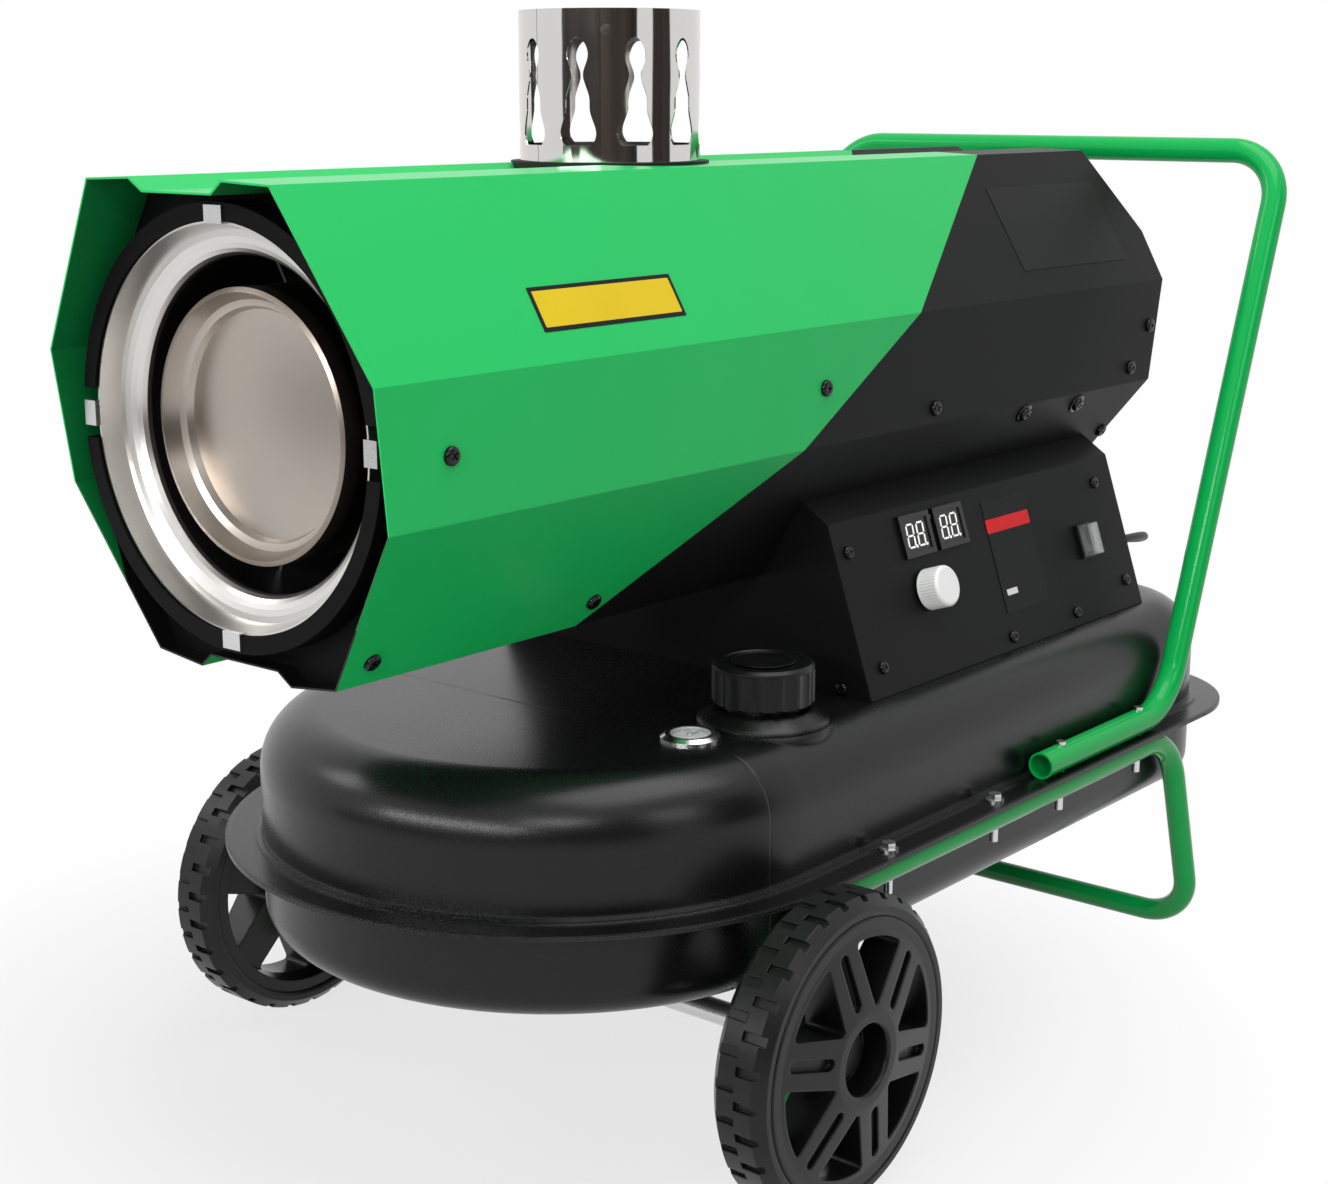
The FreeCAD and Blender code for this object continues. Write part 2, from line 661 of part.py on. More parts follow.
electrodes = []
for side in (-1, 1):
    base = V(side * electrode_x, BURNER_END_Y - 30, CASING_Z + electrode_up)
    collar_base = V(side * electrode_x, BURNER_END_Y, CASING_Z + electrode_up)
    tip_end = V(side * 4, BURNER_END_Y - 58, CASING_Z + electrode_up - 2)
    ceramic = rod(electrode_r, 46, base, AROUND_Y)
    stop = rod(electrode_r + 2, 4, collar_base, AROUND_Y)
    wire = bent_bar(Part.Wire(Part.makeLine(base + V(0, 1, 0), tip_end)), 1.2)
    electrodes.append(fuse([ceramic, stop, wire]))
photocell = rod(photocell_r, 26, V(0, BURNER_END_Y - 14, CASING_Z - photocell_down), AROUND_Y)
photocell_stop = rod(photocell_r + 2, 4, V(0, BURNER_END_Y, CASING_Z - photocell_down), AROUND_Y)
save("burner_probes", Part.makeCompound(electrodes + [photocell.fuse(photocell_stop)]))

# Motor and fan
shaft_bore = rod(SHAFT_R + RUN_GAP, 40, V(0, MOTOR_Y + MOTOR_L - 30, CASING_Z), AROUND_Y)
motor_can = turned_y([(0, MOTOR_Y), (MOTOR_R - 6, MOTOR_Y), (MOTOR_R, MOTOR_Y + 6),
                      (MOTOR_R, MOTOR_Y + MOTOR_L - 6), (MOTOR_R - 6, MOTOR_Y + MOTOR_L), (0, MOTOR_Y + MOTOR_L)])
save("motor", motor_can.cut(shaft_bore))

cradles = []
cradle_half = VALLEY_X - 2
for station in (MOTOR_Y + 14, MOTOR_Y + MOTOR_L - 18):
    cradles.append(box(-cradle_half, cradle_half, station, station + 4, BELLY_Z, CASING_Z - MOTOR_R / 2))
base_plate = box(-cradle_half, cradle_half, MOTOR_Y + 14, MOTOR_Y + MOTOR_L - 14, BELLY_Z, BELLY_Z + 3)
motor_space = rod(MOTOR_R, 2 * REACH, V(0, 0, CASING_Z), AROUND_Y)
save("motor_cradle", fuse(cradles + [base_plate]).cut(motor_space))


def blade_section(radius, pitch):
    """Thin chord across the fan axis at a radius, turned to its pitch."""
    half = BLADE_CHORD / 2 * math.cos(math.radians(pitch))
    rise = BLADE_CHORD / 2 * math.sin(math.radians(pitch))
    across = BLADE_T / 2 * math.sin(math.radians(pitch))
    along = BLADE_T / 2 * math.cos(math.radians(pitch))
    middle = FAN_Y + FAN_HUB_L / 2
    corners = [(-half - across, -rise + along), (half - across, rise + along),
               (half + across, rise - along), (-half + across, -rise - along)]
    points = [V(x, middle + y, CASING_Z + radius) for x, y in corners]
    return Part.makePolygon(points + points[:1])


blade = Part.makeLoft([blade_section(FAN_HUB_R * 0.6, ROOT_PITCH), blade_section(FAN_R + 10, TIP_PITCH)], True, True)
blade = blade.common(rod(FAN_R, REACH, V(0, FAN_Y - 100, CASING_Z), AROUND_Y))
shaft_start = MOTOR_Y + MOTOR_L - 28
fan_shaft = rod(SHAFT_R, FAN_Y + FAN_HUB_L + 2 - shaft_start, V(0, shaft_start, CASING_Z), AROUND_Y)
fan_solids = [fan_shaft, rod(FAN_HUB_R, FAN_HUB_L, V(0, FAN_Y, CASING_Z), AROUND_Y)]
for index in range(BLADE_COUNT):
    turned = blade.copy()
    turned.rotate(V(0, 0, CASING_Z), AROUND_Y, index * 360 / BLADE_COUNT)
    fan_solids.append(turned)
save("fan", fuse(fan_solids))

shroud_bore = rod(SHROUD_R, 2 * REACH, V(0, 0, CASING_Z), AROUND_Y)
rear_plate = casing_block(SHEET, REAR_PLATE_Y, REAR_PLATE_Y + PLATE_T).cut(shroud_bore)
shroud = ring(SHROUD_R + PLATE_T, SHROUD_R, SHROUD_L, V(0, REAR_PLATE_Y - SHROUD_L + PLATE_T, CASING_Z), AROUND_Y)
save("rear_plate", rear_plate.fuse(shroud))

guard_y = REAR_PLATE_Y + PLATE_T
guard_solids = []
for index in range(GUARD_RINGS):
    radius = (SHROUD_R + GUARD_WIRE) * (index + 1) / GUARD_RINGS
    guard_solids.append(ring(radius + GUARD_WIRE / 2, radius - GUARD_WIRE / 2, GUARD_WIRE,
                             V(0, guard_y, CASING_Z), AROUND_Y))
for index in range(GUARD_SPOKES // 2):
    spoke = box(-SHROUD_R - GUARD_WIRE, SHROUD_R + GUARD_WIRE, guard_y, guard_y + GUARD_WIRE,
                CASING_Z - GUARD_WIRE / 2, CASING_Z + GUARD_WIRE / 2)
    spoke.rotate(V(0, 0, CASING_Z), AROUND_Y, index * 360 / GUARD_SPOKES)
    guard_solids.append(spoke)
save("rear_guard", fuse(guard_solids))


# Tank
def tank_face(inset):
    """Plan of the tank: a half round front end and rounded rear corners."""
    half = FLANGE_HALF_W - inset
    corner = TANK_REAR_R - inset
    rear = TANK_REAR_Y - inset
    front = TANK_FRONT_CENTRE_Y
    slant = corner * (1 - math.sqrt(0.5))
    nose = Part.Arc(V(-half, front, 0), V(0, front - half, 0), V(half, front, 0)).toShape()
    right = Part.makeLine(V(half, front, 0), V(half, rear - corner, 0))
    right_corner = Part.Arc(V(half, rear - corner, 0), V(half - slant, rear - slant, 0),
                            V(half - corner, rear, 0)).toShape()
    back = Part.makeLine(V(half - corner, rear, 0), V(corner - half, rear, 0))
    left_corner = Part.Arc(V(corner - half, rear, 0), V(slant - half, rear - slant, 0),
                           V(-half, rear - corner, 0)).toShape()
    left = Part.makeLine(V(-half, rear - corner, 0), V(-half, front, 0))
    return Part.Face(Part.Wire([nose, right, right_corner, back, left_corner, left]))


def tank_slab(inset, z0, z1):
    """Slab with the tank's plan between two heights."""
    face = tank_face(inset)
    face.translate(V(0, 0, z0))
    return face.extrude(V(0, 0, z1 - z0))


def rounded(slab, z, radius):
    """Slab with the edges at one height rounded."""
    edges = [edge for edge in slab.Edges if abs(edge.BoundBox.ZMin - z) + abs(edge.BoundBox.ZMax - z) < 0.01]
    return slab.makeFillet(radius, edges)


def tank_upper_block(inset):
    """Filled upper half above the flange."""
    return rounded(tank_slab(FLANGE_W + inset, FLANGE_Z - TANK_SHEET, TANK_TOP_Z - inset),
                   TANK_TOP_Z - inset, TANK_SHOULDER_R - inset)


def tank_lower_block(inset):
    """Filled lower half under the flange."""
    low = FLANGE_Z - TANK_DOWN - 2 * TANK_SHEET + inset
    return rounded(tank_slab(FLANGE_W + inset, low, FLANGE_Z - TANK_SHEET), low, TANK_BELLY_R - inset)


def flange_holes():
    """Bolt holes through the flange, rails and handle feet."""
    holes = []
    for side in (-1, 1):
        for y in RAIL_BOLT_Y + HANDLE_BOLT_Y:
            holes.append(rod(BOLT_D / 2 + BOLT_GAP, REACH, V(side * RAIL_X, y, 0), UP))
    return holes


bolt_holes = flange_holes()
line_x = -100.0
pipe_r = 3.0
pickup_y = CAB_FRONT_Y + 20
pickup_hole = rod(pipe_r + SEAT_GAP, 20, V(line_x, pickup_y, TANK_TOP_Z - 10), UP)
filler_hole = rod(NECK_R + SEAT_GAP, REACH, V(FILLER_X, FILLER_Y, FLANGE_Z), UP)
stem_hole = rod(STEM_R + SEAT_GAP, REACH, V(GAUGE_X, GAUGE_Y, FLANGE_Z), UP)
upper_fill = tank_upper_block(0)
upper_flange = tank_slab(0, FLANGE_Z - TANK_SHEET, FLANGE_Z)
flange_step = tank_slab(FLANGE_STEP_W, FLANGE_Z - TANK_SHEET, FLANGE_Z + FLANGE_STEP_H)
filler_boss = rod(BOSS_R, TANK_SHOULDER_R, V(FILLER_X, FILLER_Y, TANK_TOP_Z - TANK_SHOULDER_R), UP)
gauge_boss = rod(GAUGE_R, TANK_SHOULDER_R, V(GAUGE_X, GAUGE_Y, TANK_TOP_Z - TANK_SHOULDER_R), UP)
boss_room = rod(BOSS_R - TANK_SHEET, TANK_SHOULDER_R - TANK_SHEET,
                V(FILLER_X, FILLER_Y, TANK_TOP_Z - TANK_SHOULDER_R), UP)
tank_upper = fuse([upper_fill, upper_flange, flange_step, filler_boss, gauge_boss])
tank_upper = tank_upper.cut([tank_upper_block(TANK_SHEET), boss_room, filler_hole, stem_hole, pickup_hole] + bolt_holes)
save("tank_upper", tank_upper)

lower_flange = tank_slab(0, FLANGE_LOW_Z, FLANGE_Z - TANK_SHEET)
tank_lower = tank_lower_block(0).fuse(lower_flange)
save("tank_lower", tank_lower.cut([tank_lower_block(TANK_SHEET)] + bolt_holes))

# Filler neck and cap
neck_top = TANK_TOP_Z + NECK_UP
collar_top = TANK_TOP_Z + COLLAR_H
save("filler_neck", turned_z([(NECK_R - NECK_WALL, TANK_TOP_Z - NECK_DOWN), (NECK_R, TANK_TOP_Z - NECK_DOWN),
                              (NECK_R, TANK_TOP_Z), (COLLAR_FOOT_R, TANK_TOP_Z),
                              (COLLAR_FOOT_R, TANK_TOP_Z + 2), (COLLAR_TOP_R, collar_top),
                              (NECK_R, collar_top), (NECK_R, neck_top), (NECK_R - NECK_WALL, neck_top)],
                             FILLER_X, FILLER_Y))

seal_z = neck_top + SEAT_GAP
save("cap_seal", turned_z([(NECK_R - NECK_WALL, seal_z), (NECK_R, seal_z), (NECK_R, seal_z + SEAL_H),
                           (NECK_R - NECK_WALL, seal_z + SEAL_H)], FILLER_X, FILLER_Y))

cap_top = seal_z + SEAL_H + SEAT_GAP + CAP_TOP
cap_low = cap_top - CAP_H
cap = turned_z([(0, cap_top - CAP_TOP), (NECK_R + MOVE_GAP, cap_top - CAP_TOP), (NECK_R + MOVE_GAP, cap_low),
                (CAP_R - 1, cap_low), (CAP_R, cap_low + 1), (CAP_R, cap_top - 2), (CAP_R - 2, cap_top),
                (CAP_R - 6, cap_top), (CAP_R - 7, cap_top - 1), (0, cap_top - 1)], FILLER_X, FILLER_Y)
flutes = []
flute_r = math.pi * CAP_R / CAP_FLUTES
flute_reach = CAP_R - FLUTE_DEPTH + 2.5 * flute_r
for index in range(CAP_FLUTES):
    angle = math.radians(360 * index / CAP_FLUTES)
    centre = V(FILLER_X + flute_reach * math.cos(angle), FILLER_Y + flute_reach * math.sin(angle), cap_low - 1)
    flutes.append(rod(2.5 * flute_r, CAP_H - 3, centre, UP))
save("fuel_cap", cap.cut(flutes))

# Fuel gauge with its float
gauge_z = TANK_TOP_Z
well_z = gauge_z + GAUGE_SEAT_H
bezel = turned_z([(0, gauge_z), (GAUGE_R, gauge_z), (GAUGE_R, gauge_z + 1.5), (GAUGE_R - 3, gauge_z + GAUGE_H),
                  (DOME_R + SEAT_GAP, gauge_z + GAUGE_H), (DOME_R + SEAT_GAP, well_z), (0, well_z)], GAUGE_X, GAUGE_Y)
pivot_z = gauge_z - STEM_L
stem = rod(STEM_R, STEM_L + 6, V(GAUGE_X, GAUGE_Y, pivot_z - 6), UP)
fork_gap = 3.0
fork = box(GAUGE_X - 20, GAUGE_X + 20, GAUGE_Y - fork_gap, GAUGE_Y + fork_gap, pivot_z - 10, pivot_z + 9)
float_bore = rod(PIN_R + RUN_GAP, 40, V(GAUGE_X, GAUGE_Y - 20, pivot_z), AROUND_Y)
needle_pin = rod(1.0, 2.6, V(GAUGE_X, GAUGE_Y, well_z), UP)
save("gauge_body", fuse([bezel, stem, needle_pin]).cut([fork, float_bore]))

dome_edge = gauge_z + GAUGE_H + 0.4
dome_outer = turned_z([(0, well_z), (DOME_R, well_z), (DOME_R, dome_edge), (0, dome_edge)], GAUGE_X, GAUGE_Y)
dome_top = Part.makeSphere(DOME_BEND_R, V(GAUGE_X, GAUGE_Y, gauge_z + GAUGE_H + DOME_UP - DOME_BEND_R))
dome_lift = rod(DOME_R, DOME_UP, V(GAUGE_X, GAUGE_Y, dome_edge), UP).common(dome_top)
dome_room = rod(DOME_R - 1.4, GAUGE_H - GAUGE_SEAT_H + 0.8, V(GAUGE_X, GAUGE_Y, well_z), UP)
save("gauge_dome", dome_outer.fuse(dome_lift).cut(dome_room))

needle_bar = box(GAUGE_X - 1.1, GAUGE_X + 1.1, GAUGE_Y - 3, GAUGE_Y + 9.5, well_z + 0.5, well_z + 1.3)
needle_hub = rod(2.6, 1.6, V(GAUGE_X, GAUGE_Y, well_z + 0.5), UP)
needle_bore = rod(1.0 + RUN_GAP, 5, V(GAUGE_X, GAUGE_Y, well_z), UP)
save("gauge_needle", needle_bar.fuse(needle_hub).cut(needle_bore))

arm_half = fork_gap - SEAT_GAP
arm = box(GAUGE_X - FLOAT_ARM, GAUGE_X + 4, GAUGE_Y - arm_half, GAUGE_Y + arm_half, pivot_z - 2, pivot_z + 2)
arm_pin = rod(PIN_R, 2 * STEM_R - 2, V(GAUGE_X, GAUGE_Y - STEM_R + 1, pivot_z), AROUND_Y)
bulb = rod(FLOAT_R, FLOAT_L, V(GAUGE_X - FLOAT_ARM, GAUGE_Y - FLOAT_L / 2, pivot_z), AROUND_Y)
float_arm = fuse([arm, arm_pin, bulb])
float_arm.rotate(V(GAUGE_X, GAUGE_Y, pivot_z), AROUND_Y, -FLOAT_DROOP)
save("float_arm", float_arm)


# Cabinet under the casing
def cabinet_block(inset, y0, y1):
    """Filled cabinet between two stations, before the casing and tank are cut from it."""
    back_off = SLOPE_N * -(PANEL_T + inset)
    foot = V(PANEL_LOW_X, 0, PANEL_LOW_Z) + back_off - SLOPE_V * 30
    head = V(PANEL_TOP_X, 0, PANEL_TOP_Z) + back_off
    edge = V(PANEL_TOP_X, 0, PANEL_TOP_Z) - UP * inset
    strip = V(STRIP_X, 0, STRIP_Z) - UP * inset
    right = [foot, head, edge, strip] if inset == 0 else [foot, head - UP * inset, strip]
    left = [V(-p.x, 0, p.z) for p in reversed(right)]
    face = polygon(right + left)
    face.translate(V(0, y0, 0))
    return face.extrude(V(0, y1 - y0, 0))


panel_window = on_panel(box(WINDOW_EDGE, CAB_L - WINDOW_EDGE, WINDOW_EDGE, PANEL_H - WINDOW_EDGE, -12, 4))
gland_hole = rod(GLAND_R - 2 + SEAT_GAP, 30, V(GLAND_X, CAB_REAR_Y - 15, GLAND_Z), AROUND_Y)
cabinet = cabinet_block(0, CAB_FRONT_Y, CAB_REAR_Y)
cabinet = cabinet.cut([cabinet_block(SHEET, CAB_FRONT_Y + SHEET, CAB_REAR_Y - SHEET), casing_fill, upper_fill])
cabinet = cabinet.cut([panel_window, mirrored(panel_window), gland_hole])
tray_z = TANK_TOP_Z + TRAY_T
tray = box(-TRAY_HALF_W, TRAY_HALF_W, CAB_FRONT_Y + SHEET, CAB_REAR_Y - SHEET, TANK_TOP_Z, tray_z)
save("cabinet", cabinet.fuse(tray.cut(pickup_hole)))

plain_panel = on_panel(box(0, CAB_L, 0, PANEL_H, -PANEL_T, 0)).cut(upper_fill)
save("service_panel", mirrored(plain_panel))

panel_cuts = []
for along in DISPLAY_X:
    panel_cuts.append(box(along - DISPLAY_W / 2, along + DISPLAY_W / 2, DISPLAY_V - DISPLAY_H / 2,
                          DISPLAY_V + DISPLAY_H / 2, -5, 5))
panel_cuts.append(rod(SPINDLE_R + 2, 10, V(KNOB_X, KNOB_V, -5), UP))
switch_half_w = SWITCH_W / 2 - 2
switch_half_h = SWITCH_H / 2 - 2
panel_cuts.append(upright(box(SWITCH_X - switch_half_w, SWITCH_X + switch_half_w, SWITCH_V - switch_half_h,
                              SWITCH_V + switch_half_h, -5, 5)))
save("control_panel", plain_panel.cut([on_panel(cut) for cut in panel_cuts]))


def display_module(along):
    """Framed window module that clips into the panel from the front."""
    half_w = DISPLAY_W / 2
    half_h = DISPLAY_H / 2
    body_w = half_w - SEAT_GAP
    body_h = half_h - SEAT_GAP
    body = box(along - body_w, along + body_w, DISPLAY_V - body_h, DISPLAY_V + body_h, -DISPLAY_DEEP, DISPLAY_PROUD)
    edge = BEZEL_EDGE
    rim = box(along - half_w - edge, along + half_w + edge, DISPLAY_V - half_h - edge, DISPLAY_V + half_h + edge,
              0, DISPLAY_PROUD)
    glass = box(along - half_w + edge, along + half_w - edge, DISPLAY_V - half_h + edge, DISPLAY_V + half_h - edge,
                DISPLAY_PROUD - 1, DISPLAY_PROUD + 1)
    return on_panel(body.fuse(rim).cut(glass))


save("displays", Part.makeCompound([display_module(along) for along in DISPLAY_X]))

pot_body = rod(POT_R, POT_L, V(KNOB_X, KNOB_V, -PANEL_T - POT_L), UP)
pot_bush = rod(SPINDLE_R + 2 - SEAT_GAP, PANEL_T + 3, V(KNOB_X, KNOB_V, -PANEL_T - 1), UP)
pot_bore = rod(SPINDLE_R + RUN_GAP, 40, V(KNOB_X, KNOB_V, -PANEL_T - 8), UP)
save("thermostat", on_panel(pot_body.fuse(pot_bush).cut(pot_bore)))

knob_foot = 2 + SEAT_GAP
knob = rod(KNOB_R, KNOB_H, V(KNOB_X, KNOB_V, knob_foot), UP)
knob = knob.makeFillet(KNOB_ROUND, [edge for edge in knob.Edges if abs(edge.BoundBox.ZMin - knob_foot - KNOB_H) < 0.01])
rib_cuts = []
for index in range(KNOB_RIBS):
    angle = math.radians(360 * index / KNOB_RIBS)
    centre = V(KNOB_X + KNOB_R * math.cos(angle), KNOB_V + KNOB_R * math.sin(angle), knob_foot + 2)
    rib_cuts.append(Part.makeBox(2 * KNOB_RIB, 2 * KNOB_RIB, KNOB_H, centre - V(KNOB_RIB, KNOB_RIB, 0)))
spindle = rod(SPINDLE_R, knob_foot + PANEL_T + 7, V(KNOB_X, KNOB_V, -PANEL_T - 7), UP)
save("thermostat_knob", on_panel(knob.cut(rib_cuts).fuse(spindle)))

# Rocker switch under a clear cover
rocker_w = ROCKER_W / 2
rocker_h = ROCKER_H / 2
switch_rim = box(SWITCH_X - SWITCH_W / 2, SWITCH_X + SWITCH_W / 2, SWITCH_V - SWITCH_H / 2,
                 SWITCH_V + SWITCH_H / 2, 0, SWITCH_PROUD)
switch_body = box(SWITCH_X - switch_half_w + SEAT_GAP, SWITCH_X + switch_half_w - SEAT_GAP,
                  SWITCH_V - switch_half_h + SEAT_GAP, SWITCH_V + switch_half_h - SEAT_GAP, -SWITCH_DEEP, 0)
switch_well = box(SWITCH_X - rocker_w - MOVE_GAP, SWITCH_X + rocker_w + MOVE_GAP, SWITCH_V - rocker_h - MOVE_GAP,
                  SWITCH_V + rocker_h + MOVE_GAP, -9, 10)
pivot_bore = rod(PIN_R + RUN_GAP, ROCKER_H + 6, V(SWITCH_X, SWITCH_V - rocker_h - 3, -1), AROUND_Y)
save("switch_bezel", on_switch(switch_rim.fuse(switch_body).cut([switch_well, pivot_bore])))

rocker_top = 2.6
rocker_face = [V(SWITCH_X - rocker_w, 0, rocker_top), V(SWITCH_X - rocker_w, 0, -2.5), V(SWITCH_X, 0, -5.5),
               V(SWITCH_X + rocker_w, 0, -2.5), V(SWITCH_X + rocker_w, 0, rocker_top), V(SWITCH_X, 0, 1.2)]
rocker = polygon(rocker_face).extrude(V(0, ROCKER_H, 0))
rocker.translate(V(0, SWITCH_V - rocker_h, 0))
rocker_pin = rod(PIN_R, ROCKER_H + 3, V(SWITCH_X, SWITCH_V - rocker_h - 1.5, -1), AROUND_Y)
rocker = rocker.fuse(rocker_pin)
rocker.rotate(V(SWITCH_X, SWITCH_V, -1), AROUND_Y, ROCKER_TILT)
save("rocker", on_switch(rocker))

cover_w = rocker_w + 2.4
cover_h = rocker_h + 2.4
cover_outer = box(SWITCH_X - cover_w, SWITCH_X + cover_w, SWITCH_V - cover_h, SWITCH_V + cover_h,
                  SWITCH_PROUD, COVER_PROUD)
cover_inner = box(SWITCH_X - cover_w + COVER_T, SWITCH_X + cover_w - COVER_T, SWITCH_V - cover_h + COVER_T,
                  SWITCH_V + cover_h - COVER_T, SWITCH_PROUD, COVER_PROUD - COVER_T)
save("switch_cover", on_switch(cover_outer.cut(cover_inner)))

# Parts on the tray inside the cabinet
transformer_y = CAB_FRONT_Y + TRANSFORMER_Y
save("ignition_transformer", box(TRANSFORMER_X - TRANSFORMER_W / 2, TRANSFORMER_X + TRANSFORMER_W / 2, transformer_y,
                                 transformer_y + TRANSFORMER_L, tray_z, tray_z + TRANSFORMER_H))

pump_y = CAB_FRONT_Y + PUMP_Y
pump_z = tray_z + PUMP_R + PUMP_LIFT
pump_body = rod(PUMP_R, PUMP_L, V(line_x, pump_y, pump_z), AROUND_Y)
foot_y = pump_y + (PUMP_L - PUMP_FOOT_L) / 2
pump_foot = box(line_x - PUMP_FOOT_W / 2, line_x + PUMP_FOOT_W / 2, foot_y, foot_y + PUMP_FOOT_L, tray_z,
                pump_z - PUMP_R / 2)
pump_snout = rod(SNOUT_R, SNOUT_L, V(line_x, pump_y - SNOUT_L, pump_z), AROUND_Y)
save("fuel_pump", fuse([pump_body, pump_foot, pump_snout]))

filter_y = CAB_FRONT_Y + FILTER_Y
filter_r = FILTER_R
bowl_z = tray_z + FILTER_H - FILTER_HEAD
filter_body = turned_z([(0, tray_z), (filter_r - 4, tray_z), (filter_r, tray_z + 6), (filter_r, bowl_z),
                        (filter_r + 3, bowl_z), (filter_r + 3, tray_z + FILTER_H), (0, tray_z + FILTER_H)],
                       line_x, filter_y)
save("fuel_filter", filter_body)
line_z = tray_z + FILTER_H - FILTER_HEAD / 2

dip = [V(line_x, pickup_y, FLANGE_Z - TANK_DOWN + 8), V(line_x, pickup_y, line_z),
       V(line_x, filter_y - filter_r - 3, line_z)]
suction_line = bent_bar(bent_wire(dip, [9.0]), pipe_r)
link_y = pump_y - SNOUT_L - 12
link = [V(line_x, filter_y + filter_r + 3, line_z), V(line_x, link_y, line_z),
        V(line_x, link_y, pump_z), V(line_x, pump_y - SNOUT_L, pump_z)]
link_line = bent_bar(bent_wire(link, [5.0, 5.0]), pipe_r)
rise_y = BURNER_END_Y - 27
feed = [V(line_x, pump_y + PUMP_L, pump_z), V(line_x, rise_y, pump_z), V(0, rise_y, pump_z),
        V(0, rise_y, BELLY_Z + 30), V(0, BURNER_END_Y + 18, BELLY_Z + 62), V(0, BURNER_END_Y + 18, CASING_Z),
        V(0, BURNER_END_Y + 8, CASING_Z)]
feed_line = bent_bar(bent_wire(feed, [8.0, 12.0, 12.0, 12.0, 6.0]), pipe_r)
save("fuel_lines", Part.makeCompound([suction_line, link_line, feed_line]))

board_z = tray_z + BOARD_LIFT
board_y = CAB_FRONT_Y + BOARD_Y
board_x = BOARD_X - BOARD_W / 2
board_end = board_y + BOARD_L
board = box(board_x, board_x + BOARD_W, board_y, board_end, board_z, board_z + BOARD_T)
posts = [rod(POST_R, BOARD_LIFT, V(x, y, tray_z), UP) for x in (board_x + POST_IN, board_x + BOARD_W - POST_IN)
         for y in (board_y + POST_IN, board_end - POST_IN)]
chips = []
for x, y in ((BOARD_X - CHIP_W, board_y + CHIP_L / 2), (BOARD_X, board_end - 1.5 * CHIP_L)):
    chips.append(box(x, x + CHIP_W, y, y + CHIP_L, board_z + BOARD_T, board_z + BOARD_T + CHIP_H))
save("control_board", fuse([board] + posts + chips))


# Frame and handle
def both_sides(points):
    """Path on the +X side carried over to the -X side."""
    return points + [V(-p.x, p.y, p.z) for p in reversed(points)]


axle_hole = rod(AXLE_R + SEAT_GAP, 2 * REACH, V(-REACH, AXLE_Y, WHEEL_R), SIDEWAYS)
frame_path = both_sides([V(RAIL_X, AXLE_Y, LEG_FOOT_Z), V(RAIL_X, AXLE_Y, RAIL_Z), V(RAIL_X, STAND_CORNER_Y, RAIL_Z),
                         V(RAIL_X, STAND_FOOT_Y, FRAME_R)])
frame_tube = bent_tube(frame_path, [RAIL_BEND, RAIL_BEND, STAND_BEND, STAND_BEND, RAIL_BEND, RAIL_BEND],
                       FRAME_R)
save("frame_tube", frame_tube.cut([axle_hole] + bolt_holes))

handle_path = both_sides([V(RAIL_X, HANDLE_FRONT_Y, HANDLE_Z), V(RAIL_X, HANDLE_CORNER_Y, HANDLE_Z),
                          V(RAIL_X, HANDLE_TOP_Y, HANDLE_TOP_Z)])
handle_tube = bent_tube(handle_path, [HANDLE_BEND, HANDLE_TOP_BEND, HANDLE_TOP_BEND, HANDLE_BEND], HANDLE_R)
save("handle", handle_tube.cut(bolt_holes))


def bolt(x, y, seat_z):
    """Hexagon bolt with a washer, standing through the flange and the rail."""
    foot = RAIL_Z - FRAME_R - BOLT_END
    shank = rod(BOLT_D / 2, seat_z - foot, V(x, y, foot), UP)
    washer = rod(WASHER_R, WASHER_T, V(x, y, seat_z), UP)
    corners = [V(x + HEAD_R * math.cos(math.radians(60 * k)), y + HEAD_R * math.sin(math.radians(60 * k)),
                 seat_z + WASHER_T) for k in range(6)]
    return fuse([shank, washer, polygon(corners).extrude(V(0, 0, HEAD_H))])


def handle_bolt(x, y):
    """Slim bolt through the handle foot, the flange and the rail."""
    foot = RAIL_Z - FRAME_R - BOLT_END
    top = HANDLE_Z + HANDLE_R
    shank = rod(BOLT_D / 2, top + 1 - foot, V(x, y, foot), UP)
    head = rod(HEAD_R - 1.5, 2.4, V(x, y, top), UP)
    return shank.fuse(head)


bolts = []
for side in (-1, 1):
    bolts += [bolt(side * RAIL_X, y, FLANGE_Z) for y in RAIL_BOLT_Y]
    bolts += [handle_bolt(side * RAIL_X, y) for y in HANDLE_BOLT_Y]
save("frame_bolts", Part.makeCompound(bolts))

# Axle and wheels
wheel_in_x = WHEEL_OUT_X - WHEEL_W
hub_x = WHEEL_OUT_X + HUB_OUT
sink_x = hub_x - HUB_SINK
axle_end = sink_x + SEAT_GAP + RETAINER_T
axle_rod = rod(AXLE_R, 2 * axle_end, V(-axle_end, AXLE_Y, WHEEL_R), SIDEWAYS)
save("axle", axle_rod)
spacer_l = wheel_in_x - SEAT_GAP - RAIL_X - FRAME_R
retainer = rod(RETAINER_R, RETAINER_T + RETAINER_END, V(sink_x + SEAT_GAP, AXLE_Y, WHEEL_R), SIDEWAYS)
retainer = retainer.cut(axle_rod)
spacer = ring(SPACER_R, AXLE_R, spacer_l, V(RAIL_X + FRAME_R, AXLE_Y, WHEEL_R), SIDEWAYS)
save("axle_collars", Part.makeCompound([retainer, mirrored(retainer), spacer, mirrored(spacer)]))


